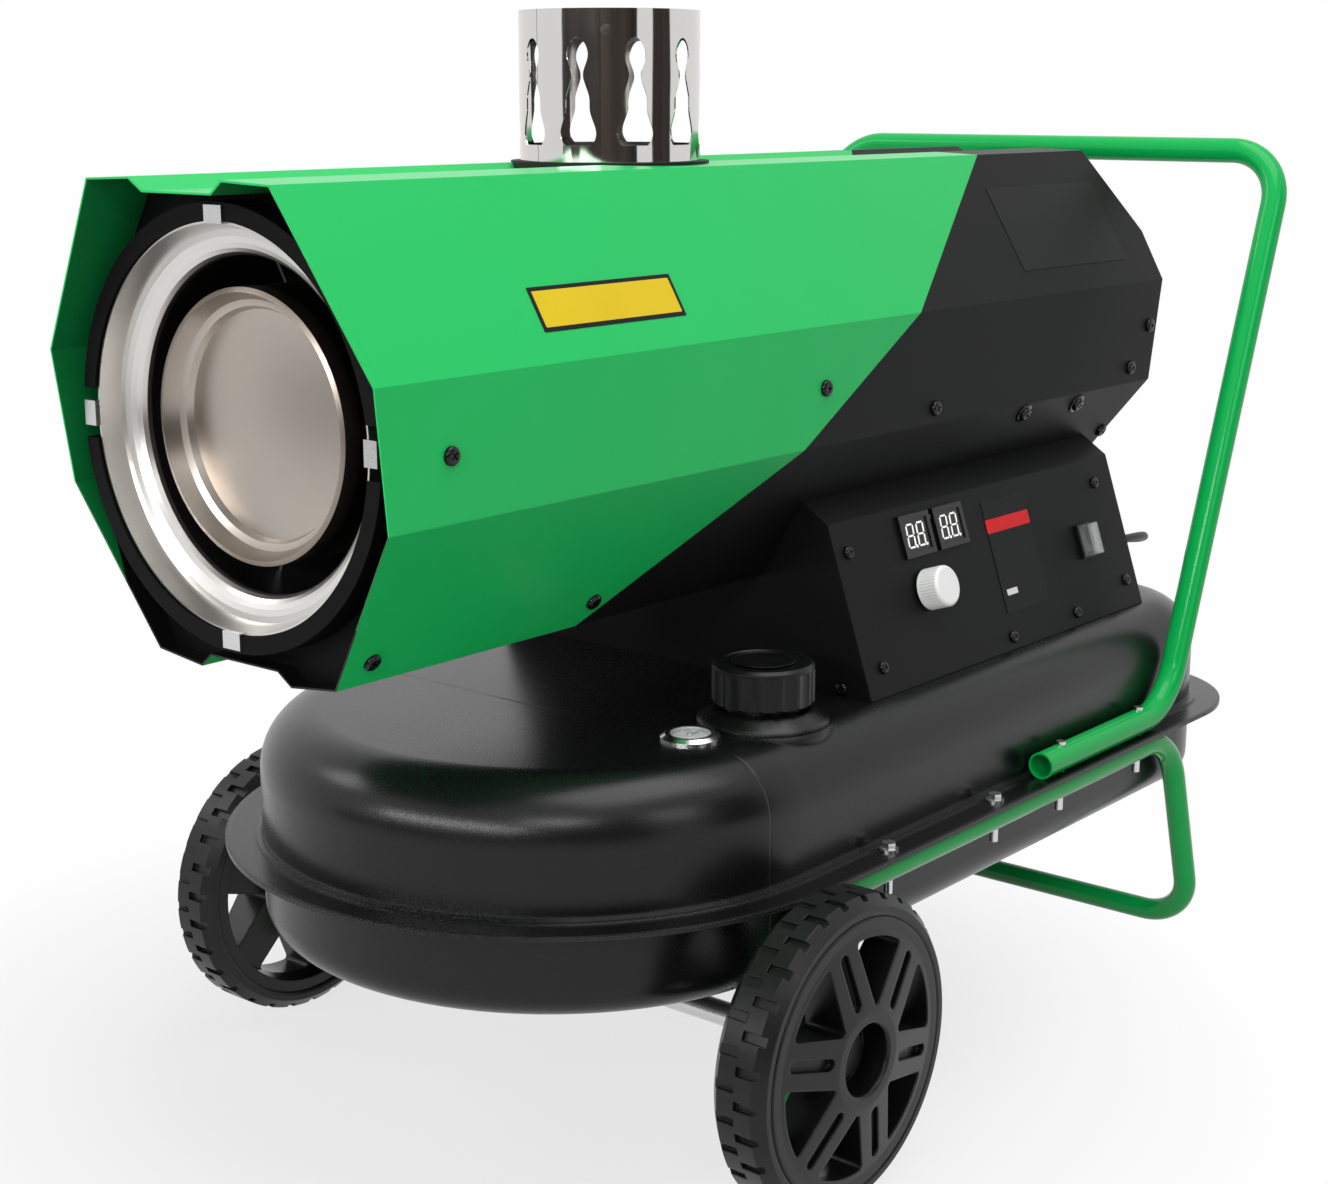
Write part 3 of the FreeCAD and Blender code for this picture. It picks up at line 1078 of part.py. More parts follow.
def window_cutter(index):
    """Wedge window between two spokes, with its sides parallel to them."""
    turn = math.radians(180 / SPOKE_COUNT)
    half = SPOKE_W / 2
    inner = half / math.sin(turn) + 6
    rim = RIM_R - RIM_WALL
    wide = rim * math.cos(math.asin(half / rim) - turn)
    apex = V(0, 0, half / math.sin(turn) + 3)
    side = rim * math.sin(turn - math.asin(half / rim))
    left = V(0, -side, wide)
    right = V(0, side, wide)
    arc = Part.Arc(left, V(0, 0, rim), right).toShape()
    face = Part.Face(Part.Wire([Part.makeLine(apex, left), arc, Part.makeLine(right, apex)]))
    deep = hub_x - wheel_in_x + 2
    solid = face.extrude(V(deep, 0, 0))
    corners = [edge for edge in solid.Edges if abs(edge.BoundBox.XLength - deep) < 0.01]
    solid = solid.makeFillet(min(3.5, inner / 12), corners)
    solid.translate(V(wheel_in_x - 1, AXLE_Y, WHEEL_R))
    solid.rotate(V(0, AXLE_Y, WHEEL_R), SIDEWAYS, 360 * (index + 0.5) / SPOKE_COUNT)
    return solid


def spoke_slot(index):
    """Round-ended recess along the middle of a spoke."""
    near = HUB_R + 9
    half = SPOKE_SLOT_W / 2
    fall = HUB_OUT / (RIM_R - RIM_FACE_W - HUB_R)
    bar = box(-SPOKE_SLOT_D, SPOKE_SLOT_D, -half, half, near, near + SPOKE_SLOT_L)
    ends = [rod(half, 2 * SPOKE_SLOT_D, V(-SPOKE_SLOT_D, 0, at), SIDEWAYS) for at in (near, near + SPOKE_SLOT_L)]
    slot = fuse([bar] + ends)
    slot.rotate(V(0, 0, near), AROUND_Y, -math.degrees(math.atan(fall)))
    slot.translate(V(hub_x - fall * (near - HUB_R), 0, 0))
    slot.translate(V(0, AXLE_Y, WHEEL_R))
    slot.rotate(V(0, AXLE_Y, WHEEL_R), SIDEWAYS, 360 * index / SPOKE_COUNT)
    return slot


face_in = WHEEL_OUT_X - SPOKE_T
rim_back = wheel_in_x + 2
bore_r = AXLE_R + RUN_GAP
rim_profile = [(wheel_in_x, bore_r), (sink_x, bore_r), (sink_x, HUB_SINK_R), (hub_x - 1.5, HUB_SINK_R),
               (hub_x, HUB_SINK_R + 1.5), (hub_x, HUB_R), (WHEEL_OUT_X, RIM_R - RIM_FACE_W), (WHEEL_OUT_X, RIM_R - 1),
               (WHEEL_OUT_X - 1, RIM_R), (rim_back, RIM_R), (rim_back, RIM_R - RIM_WALL + 3),
               (face_in, RIM_R - RIM_WALL), (face_in, HUB_R), (wheel_in_x, HUB_R)]
wheel_turn = 75.0
rim_cuts = [window_cutter(index) for index in range(SPOKE_COUNT)]
rim_cuts += [spoke_slot(index) for index in range(SPOKE_COUNT)]
wheel_rim = turned_x(rim_profile).cut(rim_cuts)
wheel_rim.rotate(V(0, AXLE_Y, WHEEL_R), SIDEWAYS, wheel_turn)


def tread_cut(index, row):
    """Groove across one row of the tread, staggered from the other row."""
    middle = WHEEL_OUT_X - WHEEL_W / 2
    x0 = middle if row else wheel_in_x - 1
    x1 = WHEEL_OUT_X + 1 if row else middle
    block = box(x0, x1, -TREAD_CUT_W / 2, TREAD_CUT_W / 2, WHEEL_R - TREAD_CUT_D, WHEEL_R + 5)
    block.translate(V(0, AXLE_Y, WHEEL_R))
    block.rotate(V(0, AXLE_Y, WHEEL_R), SIDEWAYS, 360 * (index + 0.5 * row) / TREAD_ROWS)
    return block


tyre_profile = [(wheel_in_x + 1, RIM_R), (wheel_in_x, RIM_R + 2), (wheel_in_x, WHEEL_R - TYRE_CHAMFER),
                (wheel_in_x + TYRE_CHAMFER, WHEEL_R), (WHEEL_OUT_X - TYRE_CHAMFER, WHEEL_R),
                (WHEEL_OUT_X, WHEEL_R - TYRE_CHAMFER), (WHEEL_OUT_X, RIM_R + 2), (WHEEL_OUT_X - 1, RIM_R)]
tread_cuts = [tread_cut(index, row) for row in (0, 1) for index in range(TREAD_ROWS)]
wheel_tyre = turned_x(tyre_profile).cut(tread_cuts)
save("wheel_rim_right", wheel_rim)
save("wheel_tyre_right", wheel_tyre)
save("wheel_rim_left", mirrored(wheel_rim))
save("wheel_tyre_left", mirrored(wheel_tyre))

# Mains lead from the gland over the back of the tank to the floor
cord_r = CORD_D / 2
gland_tip = CAB_REAR_Y + GLAND_L
gland_plug = rod(GLAND_R - 2, 10, V(GLAND_X, CAB_REAR_Y - 10, GLAND_Z), AROUND_Y)
gland_flange = rod(GLAND_R + 2, GLAND_FLANGE, V(GLAND_X, CAB_REAR_Y, GLAND_Z), AROUND_Y)
gland_taper = Part.makeCone(GLAND_R, cord_r + 1.6, GLAND_L - GLAND_FLANGE,
                            V(GLAND_X, CAB_REAR_Y + GLAND_FLANGE, GLAND_Z), AROUND_Y)
save("cord_gland", fuse([gland_plug, gland_flange, gland_taper]))

coil_z = TIE_T + SEAT_GAP + cord_r
coil_pitch = CORD_D + COIL_GAP
upper_z = coil_z + coil_pitch


def coil_point(across, along, z):
    """Point beside the middle of the coil, whose first turn starts at the rear and heads for -X."""
    return V(COIL_X - along, COIL_Y + across, z)


def coil_arcs():
    """Half turns that wind in on the floor layer, climb, and wind out on the layer above."""
    radii = [COIL_R - k * coil_pitch / 2 for k in range(2 * COIL_TURNS)]
    arcs = []
    right = COIL_R
    side = 1
    for r in radii:
        left = right - side * 2 * r
        middle = (right + left) / 2
        arcs.append(Part.Arc(coil_point(right, 0, coil_z), coil_point(middle, side * r, coil_z),
                             coil_point(left, 0, coil_z)))
        right = left
        side = -side
    inner = radii[-1] - coil_pitch / 2
    left = right - side * 2 * inner
    middle = (right + left) / 2
    arcs.append(Part.Arc(coil_point(right, 0, coil_z), coil_point(middle, side * inner, (coil_z + upper_z) / 2),
                         coil_point(left, 0, upper_z)))
    right = left
    side = -side
    for r in reversed(radii):
        left = right - side * 2 * r
        middle = (right + left) / 2
        arcs.append(Part.Arc(coil_point(right, 0, upper_z), coil_point(middle, side * r, upper_z),
                             coil_point(left, 0, upper_z)))
        right = left
        side = -side
    return arcs


def least_self_gap(wire, count):
    """Smallest clear distance between stretches of a tube that are not neighbours."""
    points = wire.discretize(count)
    step = wire.Length / (count - 1)
    apart = int(4 * CORD_D / step)
    least = REACH
    for i in range(count):
        for j in range(i + apart, count):
            least = min(least, points[i].distanceToPoint(points[j]))
    return least - CORD_D


turns = [arc.toShape() for arc in coil_arcs()]
coil_start = turns[0].valueAt(turns[0].FirstParameter)
coil_end = turns[-1].valueAt(turns[-1].LastParameter)
start_heading = turns[0].tangentAt(turns[0].FirstParameter)
end_heading = turns[-1].tangentAt(turns[-1].LastParameter)
lead_in = coil_start - start_heading * CORD_D
lead_out = coil_end + end_heading * CORD_D


def cord_bends(points):
    """Bend radius at each corner of a free stretch, from its shorter run."""
    bends = []
    for before, corner, after in zip(points, points[1:], points[2:]):
        run = min(before.distanceToPoint(corner), corner.distanceToPoint(after))
        turn = math.pi - (before - corner).getAngle(after - corner)
        bends.append(0.45 * run / math.tan(turn / 2))
    return bends


def free_cord(name, points):
    """Free stretch of the lead, with its tightest bend and its volume printed."""
    bends = cord_bends(points)
    path = bent_wire(points, bends)
    tube = bent_bar(path, cord_r)
    share = tube.Volume / (math.pi * cord_r * cord_r * path.Length)
    print(name, "length", round(path.Length, 1), "tightest", round(min(bends), 1), "volume share", round(share, 3))
    return tube


cord_points = [V(GLAND_X, gland_tip, GLAND_Z), V(GLAND_X, 872, 321), V(114, 900, 317), V(70, 908, 311),
               V(24, 916, 302), V(-18, 928, 282), V(-40, 941, 246), V(-50, 948, 200), V(-55, 951, 152),
               V(-62, 953, 108), V(-78, 955, 70), V(-96, 956, 36), V(-122, 957, 13), V(-150, 957, coil_z), lead_in]
save("cord", free_cord("cord", cord_points))
plug_base = V(lead_out.x + 95, lead_out.y + 18, PLUG_R)
tail_points = [lead_out, lead_out + V(28, 0, 0), plug_base - V(28, 0, 0), plug_base]
tail_bends = cord_bends(tail_points)
tail = bent_wire(tail_points, tail_bends)
coil_wire = Part.Wire([Part.makeLine(lead_in, coil_start)] + turns + [Part.makeLine(coil_end, lead_out)] + tail.Edges)
print("coil turns", len(turns) / 2, "length", round(coil_wire.Length, 1), "tail bends", round(min(tail_bends), 1))
print("coil least self gap", round(least_self_gap(coil_wire, 700), 2))
save("cord_coil", swept(coil_wire, cord_r))

# Plug and tie of the put-away lead
relief_l = 22.0
plug_head = plug_base + V(relief_l, 0, 0)
relief = Part.makeCone(cord_r + 1.6, 9.0, relief_l, plug_base, SIDEWAYS)
plug_grip = Part.makeCone(12.0, PLUG_R, PLUG_L * 0.6, plug_head, SIDEWAYS)
plug_face = rod(PLUG_R, PLUG_L * 0.4, plug_head + V(PLUG_L * 0.6, 0, 0), SIDEWAYS)
pin_base = plug_head + V(PLUG_L, 0, 0)
pins = [rod(PIN_D / 2, PIN_L, pin_base + V(0, side * PIN_SPREAD / 2, 0), SIDEWAYS) for side in (-1, 1)]
save("plug", fuse([relief, plug_grip, plug_face] + pins))

tie_in = COIL_X + COIL_R - 1.5 * coil_pitch - cord_r - 6 * SEAT_GAP
tie_out = COIL_X + COIL_R - 0.5 * coil_pitch + cord_r + SEAT_GAP
tie_y = COIL_Y - TIE_W / 2
tie_top = upper_z + cord_r + SEAT_GAP
tie_outer = box(tie_in - TIE_T, tie_out + TIE_T, tie_y, tie_y + TIE_W, 0, tie_top + TIE_T)
tie_inner = box(tie_in, tie_out, tie_y - 1, tie_y + TIE_W + 1, TIE_T, tie_top)
save("cord_tie", tie_outer.cut(tie_inner))
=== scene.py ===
# %% [markdown]
# # A wheeled workshop oil heater
# The CAD frame gives every solid of the heater in metres, with +Z up, the hot air leaving towards -Y and
# the control panel on +X. This lesson adds what a maker adds last: the lead, the screws, the plates, the
# lit digits and the finishes. The camera and the lead come first, because the lead decides how much room
# the object takes.

import math

import bpy
from mathutils import Matrix, Vector


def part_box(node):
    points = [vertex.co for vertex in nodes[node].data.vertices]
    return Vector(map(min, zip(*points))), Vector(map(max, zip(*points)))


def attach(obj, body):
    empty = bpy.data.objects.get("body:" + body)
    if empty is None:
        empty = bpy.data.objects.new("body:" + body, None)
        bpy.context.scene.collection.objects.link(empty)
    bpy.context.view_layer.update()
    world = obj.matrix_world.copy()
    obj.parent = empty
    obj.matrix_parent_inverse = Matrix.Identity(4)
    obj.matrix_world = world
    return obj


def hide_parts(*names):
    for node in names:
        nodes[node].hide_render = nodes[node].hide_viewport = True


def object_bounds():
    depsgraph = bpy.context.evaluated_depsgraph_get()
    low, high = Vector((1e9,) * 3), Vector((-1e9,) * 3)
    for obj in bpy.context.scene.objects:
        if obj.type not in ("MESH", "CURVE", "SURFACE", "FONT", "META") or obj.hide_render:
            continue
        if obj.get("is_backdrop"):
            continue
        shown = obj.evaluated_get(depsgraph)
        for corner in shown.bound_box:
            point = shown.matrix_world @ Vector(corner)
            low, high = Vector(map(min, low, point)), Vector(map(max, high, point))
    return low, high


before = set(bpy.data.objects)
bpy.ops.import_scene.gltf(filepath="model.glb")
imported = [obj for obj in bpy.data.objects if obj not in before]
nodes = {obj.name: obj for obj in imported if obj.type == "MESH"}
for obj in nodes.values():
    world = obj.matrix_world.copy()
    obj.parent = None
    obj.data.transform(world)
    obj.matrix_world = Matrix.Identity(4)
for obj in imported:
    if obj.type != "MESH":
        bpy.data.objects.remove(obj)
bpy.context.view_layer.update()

# %% [markdown]
# ## Camera
# The camera stands a little above the casing, in front of the corner with the control panel. Its place and
# lens were worked out from the straight edges of the casing and the round flue, so no shift is needed.

# %% Camera
CAMERA_PLACE = (0.9787, -1.24447, 0.6850)
CAMERA_TILT = math.radians(77.126)
CAMERA_BEARING = math.radians(39.486)
CAMERA_LENS = 59.67
SENSOR_WIDTH = 36.0
bpy.ops.object.select_all(action="DESELECT")
bpy.ops.object.camera_add(location=CAMERA_PLACE, rotation=(CAMERA_TILT, 0.0, CAMERA_BEARING))
camera = bpy.context.object
camera.name = "heater_camera"
camera.data.lens = CAMERA_LENS
camera.data.sensor_width = SENSOR_WIDTH
bpy.context.scene.camera = camera
print("camera at", tuple(round(v, 3) for v in camera.location))

# %% [markdown]
# ## Mains lead
# The lead leaves a rubber gland at the back of the cabinet, bows out behind the stand and falls to the
# floor. The length that nobody sees is wound into a small coil there. One NURBS spline follows the whole
# route. A spline of order 3 runs inside its control points, so the points of a turn stand a little outside
# the turn itself. The thickness is written on the points and not on the bevel, because Blender adds a
# point's radius to the box of the curve.

# %% Route of the lead
LEAD_D = 0.007
COIL_MIDDLE = (-0.179, 0.44783)
COIL_RADIUS = 0.046
COIL_PITCH = 0.0077
FLOOR_LAYER = 0.005
TOP_LAYER = 0.0127
POINT_STEP = 30
route = [(0.134, 0.36783, 0.321), (0.136, 0.41600, 0.320), (0.119, 0.44400, 0.309),
         (0.070, 0.44900, 0.303), (0.024, 0.45400, 0.296), (-0.018, 0.46483, 0.279),
         (-0.040, 0.47783, 0.246), (-0.050, 0.48483, 0.200), (-0.055, 0.48783, 0.152),
         (-0.062, 0.48983, 0.108), (-0.078, 0.49183, 0.070), (-0.096, 0.49283, 0.036),
         (-0.122, 0.49383, 0.013), (-0.150, 0.49383, FLOOR_LAYER)]
half_turns = [(COIL_RADIUS - k * COIL_PITCH / 2, FLOOR_LAYER, FLOOR_LAYER) for k in range(4)]
half_turns += [(COIL_RADIUS - 2 * COIL_PITCH, FLOOR_LAYER, TOP_LAYER)]
half_turns += [(COIL_RADIUS - k * COIL_PITCH / 2, TOP_LAYER, TOP_LAYER) for k in (3, 2, 1, 0)]
across = COIL_RADIUS
side = 1
for radius, low, high in half_turns:
    centre = across - side * radius
    outer = radius / math.cos(math.radians(POINT_STEP / 2))
    for degrees in range(POINT_STEP // 2, 180, POINT_STEP):
        turn = math.radians(degrees)
        route.append((COIL_MIDDLE[0] - side * outer * math.sin(turn),
                      COIL_MIDDLE[1] + centre + side * outer * math.cos(turn),
                      low + (high - low) * degrees / 180))
    across -= side * 2 * radius
    side = -side
route += [(-0.144, 0.40183, TOP_LAYER), (-0.105, 0.41983, 0.019), (-0.077, 0.41983, 0.019)]
print("lead has", len(route), "points and", len(half_turns) / 2, "turns")

# %% Lead as one spline
lead_curve = bpy.data.curves.new("mains_lead", "CURVE")
lead_curve.dimensions = "3D"
lead_curve.bevel_depth = 1.0
lead_curve.bevel_resolution = 5
lead_curve.resolution_u = 6
lead_curve.use_fill_caps = True
spline = lead_curve.splines.new("NURBS")
spline.points.add(len(route) - 1)
for point, place in zip(spline.points, route):
    point.co = (*place, 1.0)
    point.radius = LEAD_D / 2
spline.order_u = 3
spline.use_endpoint_u = True
lead = bpy.data.objects.new("mains_lead", lead_curve)
bpy.context.scene.collection.objects.link(lead)
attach(lead, "heater")
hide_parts("cord", "cord_coil")
print("lead made")

# %% [markdown]
# ## Shader sums as Python sums
# A finish is easier to read as a formula. `Wire` stands for one output socket, and each sum on it adds a
# Math node. `Graph` adds any other node, with its settings and inputs, and `Finish` is the graph of one
# material.


# %% Wire and Finish
class Wire:
    """One output socket of a finish, on which sums can be written."""

    def __init__(self, graph, socket):
        self.graph = graph
        self.socket = socket

    def math(self, operation, first, second=0.0):
        return self.graph.node("ShaderNodeMath", {"operation": operation}, {0: first, 1: second})

    def __add__(self, other):
        return self.math("ADD", self, other)

    def __radd__(self, other):
        return self.math("ADD", other, self)

    def __sub__(self, other):
        return self.math("SUBTRACT", self, other)

    def __rsub__(self, other):
        return self.math("SUBTRACT", other, self)

    def __mul__(self, other):
        return self.math("MULTIPLY", self, other)

    def __truediv__(self, other):
        return self.math("DIVIDE", self, other)

    def __gt__(self, other):
        return self.math("GREATER_THAN", self, other)

    def __abs__(self):
        return self.math("ABSOLUTE", self)

    def root(self):
        return self.math("SQRT", self)

    def least(self, other):
        return self.math("MINIMUM", self, other)

    def most(self, other):
        return self.math("MAXIMUM", self, other)


class Graph:
    """A node tree whose nodes are all made by one method."""

    def __init__(self, tree):
        self.tree = tree

    def node(self, kind, settings=None, sockets=None, output=0):
        made = self.tree.nodes.new(kind)
        for key, value in (settings or {}).items():
            setattr(made, key, value)
        for key, value in (sockets or {}).items():
            self.feed(made.inputs[key], value)
        return Wire(self, made.outputs[output])

    def feed(self, socket, value):
        if isinstance(value, Wire):
            self.tree.links.new(value.socket, socket)
        else:
            socket.default_value = value

    def seen(self):
        """1 where the camera, a mirror or clear plastic looks, and 0 for light on the object."""
        paths = self.node("ShaderNodeLightPath").socket.node.outputs
        camera_ray = Wire(self, paths["Is Camera Ray"])
        glossy_ray = Wire(self, paths["Is Glossy Ray"])
        clear_ray = Wire(self, paths["Is Transmission Ray"])
        return camera_ray.most(glossy_ray).most(clear_ray)


class Finish(Graph):
    """A material built round one Principled shader, with the place on the object ready to use."""

    def __init__(self, name, **constants):
        self.material = bpy.data.materials.new(name)
        self.material.use_nodes = True
        super().__init__(self.material.node_tree)
        self.shader = self.tree.nodes["Principled BSDF"]
        self.place = self.node("ShaderNodeTexCoord", output="Object")
        self.set(constants)

    def set(self, values):
        for key, value in values.items():
            self.feed(self.shader.inputs[key.replace("_", " ")], value)

    def noise(self, scale, detail=2.0, place=None, rough=0.5):
        return self.node("ShaderNodeTexNoise", None, {"Vector": place or self.place, "Scale": scale,
                                                      "Detail": detail, "Roughness": rough})

    def stretched(self, x, y, z):
        return self.node("ShaderNodeVectorMath", {"operation": "MULTIPLY"}, {0: self.place, 1: (x, y, z)})

    def axes(self, vector=None):
        split = self.node("ShaderNodeSeparateXYZ", None, {0: vector or self.place})
        outputs = split.socket.node.outputs
        return [Wire(self, outputs[index]) for index in range(3)]

    def blend(self, share, first, second):
        colours = {"Factor": share, 6: first, 7: second}
        return self.node("ShaderNodeMix", {"data_type": "RGBA"}, colours, output=2)

    def bump(self, height, strength, distance, under=None):
        sockets = {"Height": height, "Strength": strength, "Distance": distance}
        if under:
            sockets["Normal"] = under
        return self.node("ShaderNodeBump", None, sockets)

    def worn_edge(self, radius):
        """Normal that rounds the sharp folds of a sheet a little."""
        return self.node("ShaderNodeBevel", {"samples": 4}, {"Radius": radius})

    def line(self, distance, width):
        """1 on a line and 0 from its width onwards, from the distance to it."""
        return 1.0 - (abs(distance) / width).least(1.0)


print("shader helpers ready")

# %% [markdown]
# ## Paints
# Powder coat on folded sheet is never one flat colour. It has a fine orange peel of about a millimetre, a
# slow change of tone over a hand's width and a sheen that differs a little from place to place. One recipe
# with other numbers gives the green and the black coats, the moulded plastics and the rubbers. The front
# shells of the casing get a painted shade inside: a face that looks towards the air axis takes a dark green
# that stands in for the shadow in there. Low down and deep in the mouth the inside faces are black.


# %% Coats and plastics
AIR_AXIS_Z = 0.4955
MOUTH_Y = -0.45326
# Below a line that rises deeper into the mouth, the inside faces are black.
BLACK_LINE_SLOPE = 4.9
INSIDE_BLACK = (0.004, 0.005, 0.004, 1.0)
FAR_OFF = 9.0
PEEL_RISE = 0.0006
SEAM_HALF_WIDTH = 0.0009
SEAM_RISE = 0.0008


def shade(colour, factor):
    """The same colour, lighter or darker."""
    return (*[min(1.0, channel * factor) for channel in colour[:3]], 1.0)


def coat(name, colour, sheen, peel=900.0, depth=0.04, tone=0.06, clear=0.0, gleam=0.5, seam=None, inside_shade=None,
         edge_share=-0.06, black_below=-FAR_OFF, fold=0.0008):
    """Powder coat or moulded plastic with an orange peel, a slow change of tone and soft folds."""
    finish = Finish(name, Coat_Weight=clear, Coat_Roughness=0.08, Specular_IOR_Level=gleam)
    slow = finish.noise(7.0, 3.0)
    fine = finish.noise(peel, 2.0)
    normal = finish.bump(fine, depth, PEEL_RISE, finish.worn_edge(fold))
    if seam is not None:
        groove = 1.0 - finish.line(finish.axes()[1] - seam, SEAM_HALF_WIDTH)
        normal = finish.bump(groove, 0.35, SEAM_RISE, normal)
    paint = finish.blend(slow, shade(colour, 1 - tone), shade(colour, 1 + tone))
    # Painted shade: a face that looks towards the air axis takes the darker inside colour, which stands in
    # for the shadow inside the casing. Low down and deep in the mouth that colour is black.
    if inside_shade:
        x, y, z = finish.axes()
        normal_x, _, normal_z = finish.axes(finish.node("ShaderNodeTexCoord", output="Normal"))
        outer_face = (normal_x * x + normal_z * (z - AIR_AXIS_Z)) > edge_share
        inner = finish.blend((z - (y - MOUTH_Y) * BLACK_LINE_SLOPE) > black_below, INSIDE_BLACK, (*inside_shade, 1.0))
        paint = finish.blend(outer_face, inner, paint)
    finish.set({"Base_Color": paint, "Roughness": sheen + (slow - 0.5) * 0.08 + (fine - 0.5) * 0.06,
                "Normal": normal})
    return finish.material


TANK_SEAM_Y = -0.197
GREEN = (0.010, 0.51, 0.116)
# Painted shade: this dark green on the inside faces of the front shells stands in for the shadow inside the
# casing.
INSIDE_SHADE = (0.004, 0.17, 0.040)
# Height at the mouth below which the belly's inside faces are black.
BLACK_BELOW_Z = 0.360
green_roof = coat("green_roof_coat", GREEN, 0.34, 700.0, 0.05, 0.03, clear=0.04, gleam=0.21, inside_shade=INSIDE_SHADE)
green_belly = coat("green_belly_coat", GREEN, 0.34, 700.0, 0.05, 0.03, clear=0.04, gleam=0.21, inside_shade=INSIDE_SHADE,
                   edge_share=0.03, black_below=BLACK_BELOW_Z)
green_gloss = coat("green_tube_enamel", (0.004, 0.42, 0.082), 0.13, 500.0, 0.02, 0.04, clear=0.04, gleam=0.18)
black_coat = coat("black_casing_coat", (0.0055, 0.0055, 0.0059), 0.44, 1400.0, 0.12, 0.10, gleam=0.10)
sooty_coat = coat("matt_black_coat", (0.0035, 0.0035, 0.0036), 0.50, 1400.0, 0.12, 0.10, gleam=0.06)
tank_coat = coat("black_tank_coat", (0.0042, 0.0042, 0.0046), 0.27, 900.0, 0.03, 0.12, gleam=0.31,
                 seam=TANK_SEAM_Y, fold=0.005)
black_moulding = coat("black_moulding", (0.0045, 0.0045, 0.0048), 0.30, 1800.0, 0.10, 0.10, gleam=0.24)
black_gloss = coat("black_gloss_moulding", (0.004, 0.004, 0.0044), 0.12, 600.0, 0.02, 0.05, gleam=0.35)
black_screw = coat("black_screw", (0.0022, 0.0022, 0.0025), 0.06, 900.0, 0.02, 0.10, gleam=0.30)
white_moulding = coat("white_knob_moulding", (0.92, 0.92, 0.915), 0.38, 1600.0, 0.05, 0.02)
rim_moulding = coat("black_rim_moulding", (0.0042, 0.0042, 0.0045), 0.30, 1300.0, 0.06, 0.12, gleam=0.30,
                    fold=0.0022)
tyre_rubber = coat("tyre_rubber", (0.0055, 0.0055, 0.0058), 0.34, 1100.0, 0.18, 0.15, gleam=0.30,
                   fold=0.0012)
lead_rubber = coat("lead_rubber", (0.009, 0.009, 0.0093), 0.42, 1500.0, 0.15, 0.10, gleam=0.25)
seal_rubber = coat("seal_rubber", (0.008, 0.008, 0.008), 0.60, 1500.0, 0.20, 0.10, gleam=0.2)
ceramic = coat("fired_ceramic", (0.78, 0.75, 0.68), 0.30, 900.0, 0.05, 0.04)
board_lacquer = coat("board_lacquer", (0.02, 0.16, 0.07), 0.30, 1200.0, 0.10, 0.10)
print("coats", len(bpy.data.materials))

# %% [markdown]
# ## Metals
# The outlet ring is spun stainless, so its brush marks run round the air axis. The flue is polished sheet
# with long upright draw lines. Plated bolts and the axle are finely mottled. Each metal changes its
# roughness along its own marks, which is what makes a reflection streak. Clear plastic is made by its
# alpha, so the lamps reach the dial and the rocker behind it.

# %% Metals
BURNT_FROM = 0.070
BURNT_FADE = 0.012
BURNT = (0.14, 0.10, 0.075, 1.0)
FLUE_AXIS_Y = -0.11317
FLUE_SEAM = math.radians(-100)
FLUE_SEAM_HALF_WIDTH = 0.0006


def spun_steel(name, colour, rough, marks, warmth=0.0, upright_at=None, groove=0.06, crown=0.0, burnt=0.0,
               bare=1.0):
    """Stainless with brush marks in rings about an axis, a slight crown and a rim that heat has toned."""
    finish = Finish(name, Metallic=bare)
    x, y, z = finish.axes()
    if upright_at:
        first, second, along = x - upright_at[0], y - upright_at[1], z
    else:
        first, second, along = x, z - AIR_AXIS_Z, y
    ring = (first * first + second * second).root()
    line = finish.node("ShaderNodeCombineXYZ", None, {0: ring * marks, 1: along * marks, 2: 0.0})
    streak = finish.noise(1.0, 4.0, line, 0.7)
    slow = finish.noise(14.0, 2.0)
    dome = finish.bump(ring * ring * -crown, 1.0, 1.0)
    warm = (colour[0], colour[1] * (1 - warmth), colour[2] * (1 - 2 * warmth))
    tone = finish.blend(slow, shade(colour, 0.90), shade(warm, 1.06))
    rim = ((ring - BURNT_FROM) / BURNT_FADE).most(0.0).least(1.0) * burnt
    finish.set({"Base_Color": finish.blend(rim, tone, BURNT),
                "Roughness": rough + (streak - 0.5) * 0.12,
                "Normal": finish.bump(streak, groove, 0.0003, dome)})
    return finish.material


def drawn_metal(name, colour, rough, along=(60.0, 60.0, 2.0), depth=0.03, mottling=0.06):
    """Metal with long marks in one direction and a slow mottling."""
    finish = Finish(name, Metallic=1.0)
    streak = finish.noise(12.0, 3.0, finish.stretched(*along), 0.6)
    slow = finish.noise(30.0, 2.0)
    finish.set({"Base_Color": finish.blend(slow, shade(colour, 1 - mottling), shade(colour, 1 + mottling)),
                "Roughness": rough + (streak - 0.5) * 0.10 + (slow - 0.5) * 0.05,
                "Normal": finish.bump(streak, depth, 0.0005)})
    return finish.material


def flue_metal(name, colour, rough):
    """Polished sheet rolled to a tube, with slight upright waves and one lapped seam."""
    finish = Finish(name, Metallic=1.0)
    x, y, _ = finish.axes()
    wave = finish.noise(9.0, 2.0, finish.stretched(1.0, 1.0, 1.3))
    scratch = finish.noise(40.0, 3.0, finish.stretched(6.0, 6.0, 0.5), 0.6)
    from_axis = y - FLUE_AXIS_Y
    across = x * math.cos(FLUE_SEAM) + from_axis * math.sin(FLUE_SEAM)
    beside = from_axis * math.cos(FLUE_SEAM) - x * math.sin(FLUE_SEAM)
    seam = finish.line(beside, FLUE_SEAM_HALF_WIDTH) * (across > 0.0)
    finish.set({"Base_Color": finish.blend(seam, (*colour, 1.0), shade(colour, 0.35)),
                "Roughness": rough + (scratch - 0.5) * 0.05,
                "Normal": finish.bump(scratch, 0.02, 0.0003, finish.bump(wave, 0.35, 0.003))})
    return finish.material


